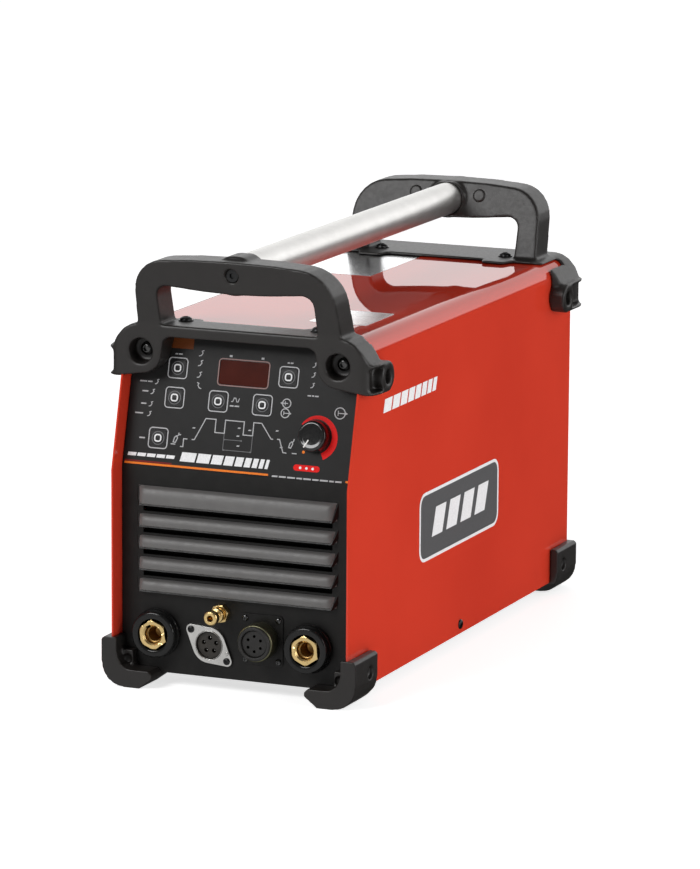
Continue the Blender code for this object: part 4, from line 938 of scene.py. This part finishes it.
def grip_bosses():
    """Round bosses on the inner face of the rear grip, beside the tube's socket."""
    profile = [(0, 1.2), (4.2, 1.1), (5.4, 0.7), (6, 0), (6, -2), (0, -2)]
    for side, way in SIDES:
        start = Vector((way * 0.0300, BACK - 0.1000, 0.3505))
        _, place, normal, _ = NODES["rear_handle"].ray_cast(start, Vector((0, 1, 0)))
        where = facing(normal, *place)
        dress(turned("grip_boss_" + side, profile, where, 0.4, 48), CHARCOAL)


def side_frame(way):
    """A flat frame on the case's side: X towards the machine's rear on the right, Z outwards."""
    turn = Matrix.Rotation(way * math.pi / 2, 4, "Z")
    return Matrix.Translation((way * CASE_SIDE, 0, 0)) @ turn @ UPRIGHT


def side_marks():
    """A plain stripe and a plain badge on each side, in place of names."""
    stripe = FRONT / MM + 71.0  # distance of its front end
    blocks = (16, 14.8, 13.6, 12.4, 11.2, 10, 8.8, 7.6)
    lean = 3.6
    badge = (119.0, 176.0)      # height of its middle, and its length
    for side, way in SIDES:
        where = side_frame(way)
        start = lean / 2 + (stripe if way > 0 else -stripe - 120.0)
        printed("side_stripe_" + side, bar_row(start, 237, blocks, 2.6, 11, lean), WHITE_INK,
                where, 0.0, rise=0.15)
        middle = way * (FRONT / MM + 240.0)
        printed("badge_field_" + side, [rounded(middle, *badge, 56, 10)], BADGE_GREY, where, 0.0,
                rise=0.12)
        edges = box_of(middle, *badge, 2.6, 10, 56)
        edges += bar_row(middle - 57.5, 120, (23,) * 4, 9, 24, 9)
        printed("badge_edge_" + side, edges, WHITE_INK, where, 0.0, rise=0.22)


def roof_labels():
    """Silver labels without text: one at the rear left, one at the front right."""
    roof = Matrix.Translation((0, 0, CASE_TOP))
    for name, left, right, near, far in (("rear", -85, -14, 78, 195), ("front", 27, 78, -150, -88)):
        label = rounded((left + right) / 2, (near + far) / 2, right - left, far - near, 3)
        printed("roof_label_" + name, [label], LABEL_SILVER, roof, 0.0, rise=0.15)


# ---- rear fittings ----
GUARD_RINGS = 8
BLADES = 7
BLADE_STEPS = 8                 # faces along and across a blade
PANEL_SCREWS = [(way * u, v) for u, v in ((0.088, 0.150), (0.088, 0.060), (0.040, 0.020))
                for way in (-1, 1)]


def wire_ring(shape, where, radius, thickness, height, steps=64):
    """Adds a round wire ring to a mesh."""
    sides = 10
    loops = []
    for step in range(steps):
        loop = []
        for part in range(sides):
            out, up = polar(thickness, 2 * math.pi * part / sides, radius, height)
            loop.append(corner(shape, where, *polar(out, 2 * math.pi * step / steps), up))
        loops.append(loop)
    skin(shape, loops + loops[:1], True)


def guard():
    """Finger guard of round wire: rings on a crossed pair of bars with eyed ends."""
    where = spot(REAR, *centre("fan_guard", REAR), 0.0, math.radians(45))
    shape = bmesh.new()
    for index in range(GUARD_RINGS):
        wire_ring(shape, where, 12.0 + 6.8 * index, 0.8, 2.0)
    rings = dress(from_shape("guard_rings", shape), CHROME_WIRE)
    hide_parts("fan_guard")
    for index in range(2):
        turn = where @ Matrix.Rotation(math.pi / 2 * index, 4, "Z")
        bar_item = prism("guard_bar_%d" % index, [rounded(0, 0, 119, 1.8, 0.8, 4)], turn, 0.2, 1.3)
        dress(bar_item, CHROME_WIRE, edge=0.0004, segments=3)
    for index in range(4):
        turn = shifted(where @ Matrix.Rotation(math.pi / 2 * index, 4, "Z"), 61, 0, 0)
        eye = bmesh.new()
        wire_ring(eye, turn, 3.0, 0.8, 1.0, 32)
        dress(from_shape("guard_eye_%d" % index, eye), CHROME_WIRE)
        screw_head("guard_screw_%d" % index, shifted(turn, 0, 0, PANEL_GAP), 2.7, 2.2,
                   BRIGHT_STEEL, "cross")


def blade_point(index, row, column, face, middle):
    """A point of a fan blade: row counts outwards, column across, face picks its two sides."""
    out = row / BLADE_STEPS
    across = column / BLADE_STEPS - 0.5
    sweep = 0.20 * out * out
    angle = 2 * math.pi * index / BLADES + across * (0.92 - 0.26 * out) + sweep
    camber = 1.6 * (1 - 4 * across * across)
    rise = across * (15.0 - 3.0 * out) + camber
    thick = 0.7 * (1 - 3.2 * across * across)
    return *polar(19.0 + 33.5 * out, angle), middle + rise + face * thick


def rotor():
    """Fan wheel with swept, twisted blades on a domed hub."""
    where = spot(REAR, *centre("fan_frame", REAR))
    low, high = (limit.z / MM for limit in span("fan_rotor", REAR))
    hub = [(0, high), (15, high - 0.2), (19.5, high - 2), (20.5, high - 5), (20.5, low), (0, low)]
    wheel = dress(turned("fan_hub", hub, where, 0.8, 72), FAN_BLACK, "fan")
    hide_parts("fan_rotor")
    middle = (low + high) / 2
    count = range(BLADE_STEPS + 1)
    last = BLADE_STEPS
    rim = [(row, 0) for row in count] + [(last, column) for column in count[1:]]
    rim += [(row, last) for row in reversed(count[:-1])]
    rim += [(0, column) for column in reversed(count[1:-1])]
    for index in range(BLADES):
        shape = bmesh.new()
        back, front = [[[corner(shape, where, *blade_point(index, row, column, face, middle))
                         for column in count] for row in count] for face in (-1, 1)]
        skin(shape, back)
        skin(shape, front)
        edges = [[sheet[row][column] for row, column in rim] for sheet in (back, front)]
        skin(shape, edges, True)
        dress(from_shape("fan_blade_%d" % index, shape), FAN_BLACK, "fan")


def rear_fittings():
    """Strain relief, gas inlet, the panel's own screws and its label."""
    where = spot(REAR, *centre("cable_gland", REAR))
    profile = [(6, 19), (9, 19), (11.2, 17.6), (12.5, 15), (13.1, 11), (13.1, 8.5), (13.5, 8),
               (13.5, 0.3), (10.1, 0.3), (10.1, -15), (6, -15)]
    gland = dress(turned("gland_nut", profile, where, 0.6, 80), INSERT_BLACK)
    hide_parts("cable_gland")
    ribs = [circle(*polar(13.3, math.radians(20 * index)), 0.7, 10) for index in range(18)]
    dress(prism("gland_ribs", ribs, where, 1.2, 7.8), INSERT_BLACK)
    where = spot(REAR, *centre("gas_inlet", REAR))
    profile = [(2.5, 19), (5.8, 19), (6.4, 18.2)]
    for index in range(6):
        height = 17.2 - 1.6 * index
        profile += [(6.6, height), (6, height - 0.8)]
    profile += [(5.8, 7.2), (5.2, 6.6), (5.2, -4), (3.6, -5), (3.6, -10), (4.2, -11), (3, -16),
                (2.5, -16)]
    inlet = dress(turned("inlet_thread", profile, where, 0.2, 64), BRASS)
    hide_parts("gas_inlet")
    hex_nut("inlet_nut", where, 9.5, 0.0, 8.3, 5.2, 8.8)
    for index, place in enumerate(PANEL_SCREWS):
        screw_head("panel_screw_%d" % index, spot(REAR, *place), 3.6, 2.0, DARK_STEEL, "cross")
    lines = [bar(-38, 260 - 6 * row, 76, 1.2) for row in range(3)]
    printed("rear_label", [rounded(0, 254, 86, 24, 2)], LABEL_SILVER, REAR, 0.0)
    printed("rear_label_lines", lines, GREY_INK, REAR, 0.0, rise=0.22)


control_prints()
key_prints()
dial()
for which in ("left", "right"):
    weld_socket(which)
gas_coupling()
signal_socket()
remote_socket()
for number, slat in enumerate(LOUVRES):
    louvre(number, *slat)
shade_screen_behind_slots()
case_screws()
pod_screws()
grip_bosses()
side_marks()
roof_labels()
guard()
rotor()
rear_fittings()


# ---- the CAD nodes that stay ----
FINISHES = [                    # look, edge radius, nodes
    (RED, 0.0004, "cover"),
    (TRAY_STEEL, 0.0, "base_tray"),
    (PANEL_BLACK, 0.0006, "front_panel", "rear_panel"),
    (OVERLAY, 0.0, "control_overlay"),
    (WINDOW, 0.0002, "display_window"),
    (DISPLAY_BLACK, 0.0, "display_module"),
    (KEY_BLACK, 0.0, *KEYS),
    (BOARD, 0.0, "control_board", "power_board"),
    (TUBE_METAL, 0.0, "handle_tube"),
    (BRIGHT_STEEL, 0.0, "potentiometer", "tube_plug_front", "tube_plug_rear", "gas_valve",
     "valve_plunger"),
    (DARK_STEEL, 0.0, "handle_bolt_front", "handle_bolt_rear"),
    (INSERT_BLACK, 0.0, "fan_frame"),
    (KNOB_BLACK, 0.0, "switch_body"),
    (ROCKER_RED, 0.0004, "switch_rocker"),
    (ALUMINIUM, 0.0, "heatsink"),
    (CAN_SLEEVE, 0.0, "capacitor_left", "capacitor_right"),
    (FERRITE, 0.0008, "transformer"),
    (COPPER, 0.0, "output_choke"),
    (POTTING, 0.0008, "arc_starter"),
    (RUBBER, 0.0, "gas_hose_in", "gas_hose_out"),
]

for look, radius, *nodes in FINISHES:
    for node in nodes:
        finish(node, look, radius)
for end, _ in ENDS:
    soften(end + "_handle", CHARCOAL, 0.0011, 12)
    for side, _ in SIDES:
        soften("foot_" + end + "_" + side, CHARCOAL, 0.0010, 6)


# ---- stage ----
def floor():
    shape = bmesh.new()
    bmesh.ops.create_grid(shape, x_segments=8, y_segments=8, size=8.0)
    item = from_shape("floor", shape)
    look = material("studio_floor", (0.86, 0.86, 0.86), 0.7, specular=0.2, glow=0.68)
    tint(look, noise(look, 0.6), (0.855, 0.855, 0.855), (0.865, 0.865, 0.865))
    item.data.materials.append(look)
    item.visible_glossy = False


def backdrop():
    """A plain white dome that only the camera sees."""
    shape = bmesh.new()
    bmesh.ops.create_uvsphere(shape, u_segments=48, v_segments=24, radius=7.9)
    item = from_shape("backdrop", shape)
    item.data.materials.append(material("backdrop_white", (0, 0, 0), 1.0, specular=0.0, glow=1.05))
    item.visible_diffuse = False
    item.visible_glossy = False
    item.visible_transmission = False
    item.visible_shadow = False


def softbox(name, place, power):
    """A square light aimed at the machine."""
    light = bpy.data.lights.new(name, "AREA")
    light.shape = "SQUARE"
    light.size = 1.4
    light.energy = power
    item = linked(name, light)
    item.location = place
    aim = Vector((0, 0, 0.15)) - Vector(place)
    item.rotation_euler = aim.to_track_quat("-Z", "Y").to_euler()


def along(tree, *limits):
    """A value remapped with a smooth start and end."""
    spread = remap(tree, *limits)
    spread.interpolation_type = "SMOOTHSTEP"
    return spread.outputs["Result"]


def combined(tree, operation, first, second):
    made = new_node(tree, "Math")
    made.operation = operation
    tree.links.new(first, made.inputs[0])
    tree.links.new(second, made.inputs[1])
    return made.outputs["Value"]


WORLD_BEHIND = 1.55             # brightness of the band behind the machine


def surroundings():
    """A pale studio: a bright band low behind the machine, dimmer overhead and to the front."""
    world = bpy.data.worlds.new("studio")
    world.use_nodes = True
    tree = world.node_tree
    place = new_node(tree, "TexCoord")
    parts = new_node(tree, "SeparateXYZ")
    tree.links.new(place.outputs["Generated"], parts.inputs["Vector"])
    depth = parts.outputs["Y"]
    height = parts.outputs["Z"]
    sky = combined(tree, "MULTIPLY", along(tree, depth, -0.5, 0.9, 0.16, WORLD_BEHIND),
                   along(tree, height, 0.25, 0.75, 1.0, 0.30))
    upper = combined(tree, "MULTIPLY", sky, along(tree, height, -0.02, 0.06, 0.0, 1.0))
    lower = combined(tree, "MULTIPLY", along(tree, depth, -0.6, 0.2, 0.65, 0.05),
                     along(tree, height, -0.02, 0.06, 1.0, 0.0))
    background = tree.nodes["Background"].inputs
    background["Color"].default_value = (1.0, 1.0, 1.0, 1.0)
    tree.links.new(combined(tree, "ADD", upper, lower), background["Strength"])
    bpy.context.scene.world = world


CAMERA_AZIMUTH = math.radians(22.913)
CAMERA_ELEVATION = math.radians(11.203)
CAMERA_ROLL = math.radians(0.363)
CAMERA_DISTANCE = 4.401
CAMERA_TARGET = Vector((0.0003, 0.0018, 0.17325))
LENS = 214.52


def camera():
    data = bpy.data.cameras.new("camera")
    data.lens = LENS
    data.sensor_width = 36.0
    data.clip_end = 50.0
    item = linked("camera", data)
    back = Vector((math.sin(CAMERA_AZIMUTH) * math.cos(CAMERA_ELEVATION),
                   -math.cos(CAMERA_AZIMUTH) * math.cos(CAMERA_ELEVATION),
                   math.sin(CAMERA_ELEVATION)))
    right = Vector((0, 0, 1)).cross(back).normalized()
    up = back.cross(right)
    turn = Matrix((right, up, back)).transposed() @ Matrix.Rotation(CAMERA_ROLL, 3, "Z")
    item.matrix_world = Matrix.Translation(CAMERA_TARGET + back * CAMERA_DISTANCE) @ turn.to_4x4()
    bpy.context.scene.camera = item


floor()
backdrop()
surroundings()
softbox("key_light", (-1.15, -2.2, 1.75), 46)
softbox("side_light", (2.4, -0.6, 0.9), 22)
camera()
bpy.context.scene.view_settings.view_transform = "Standard"
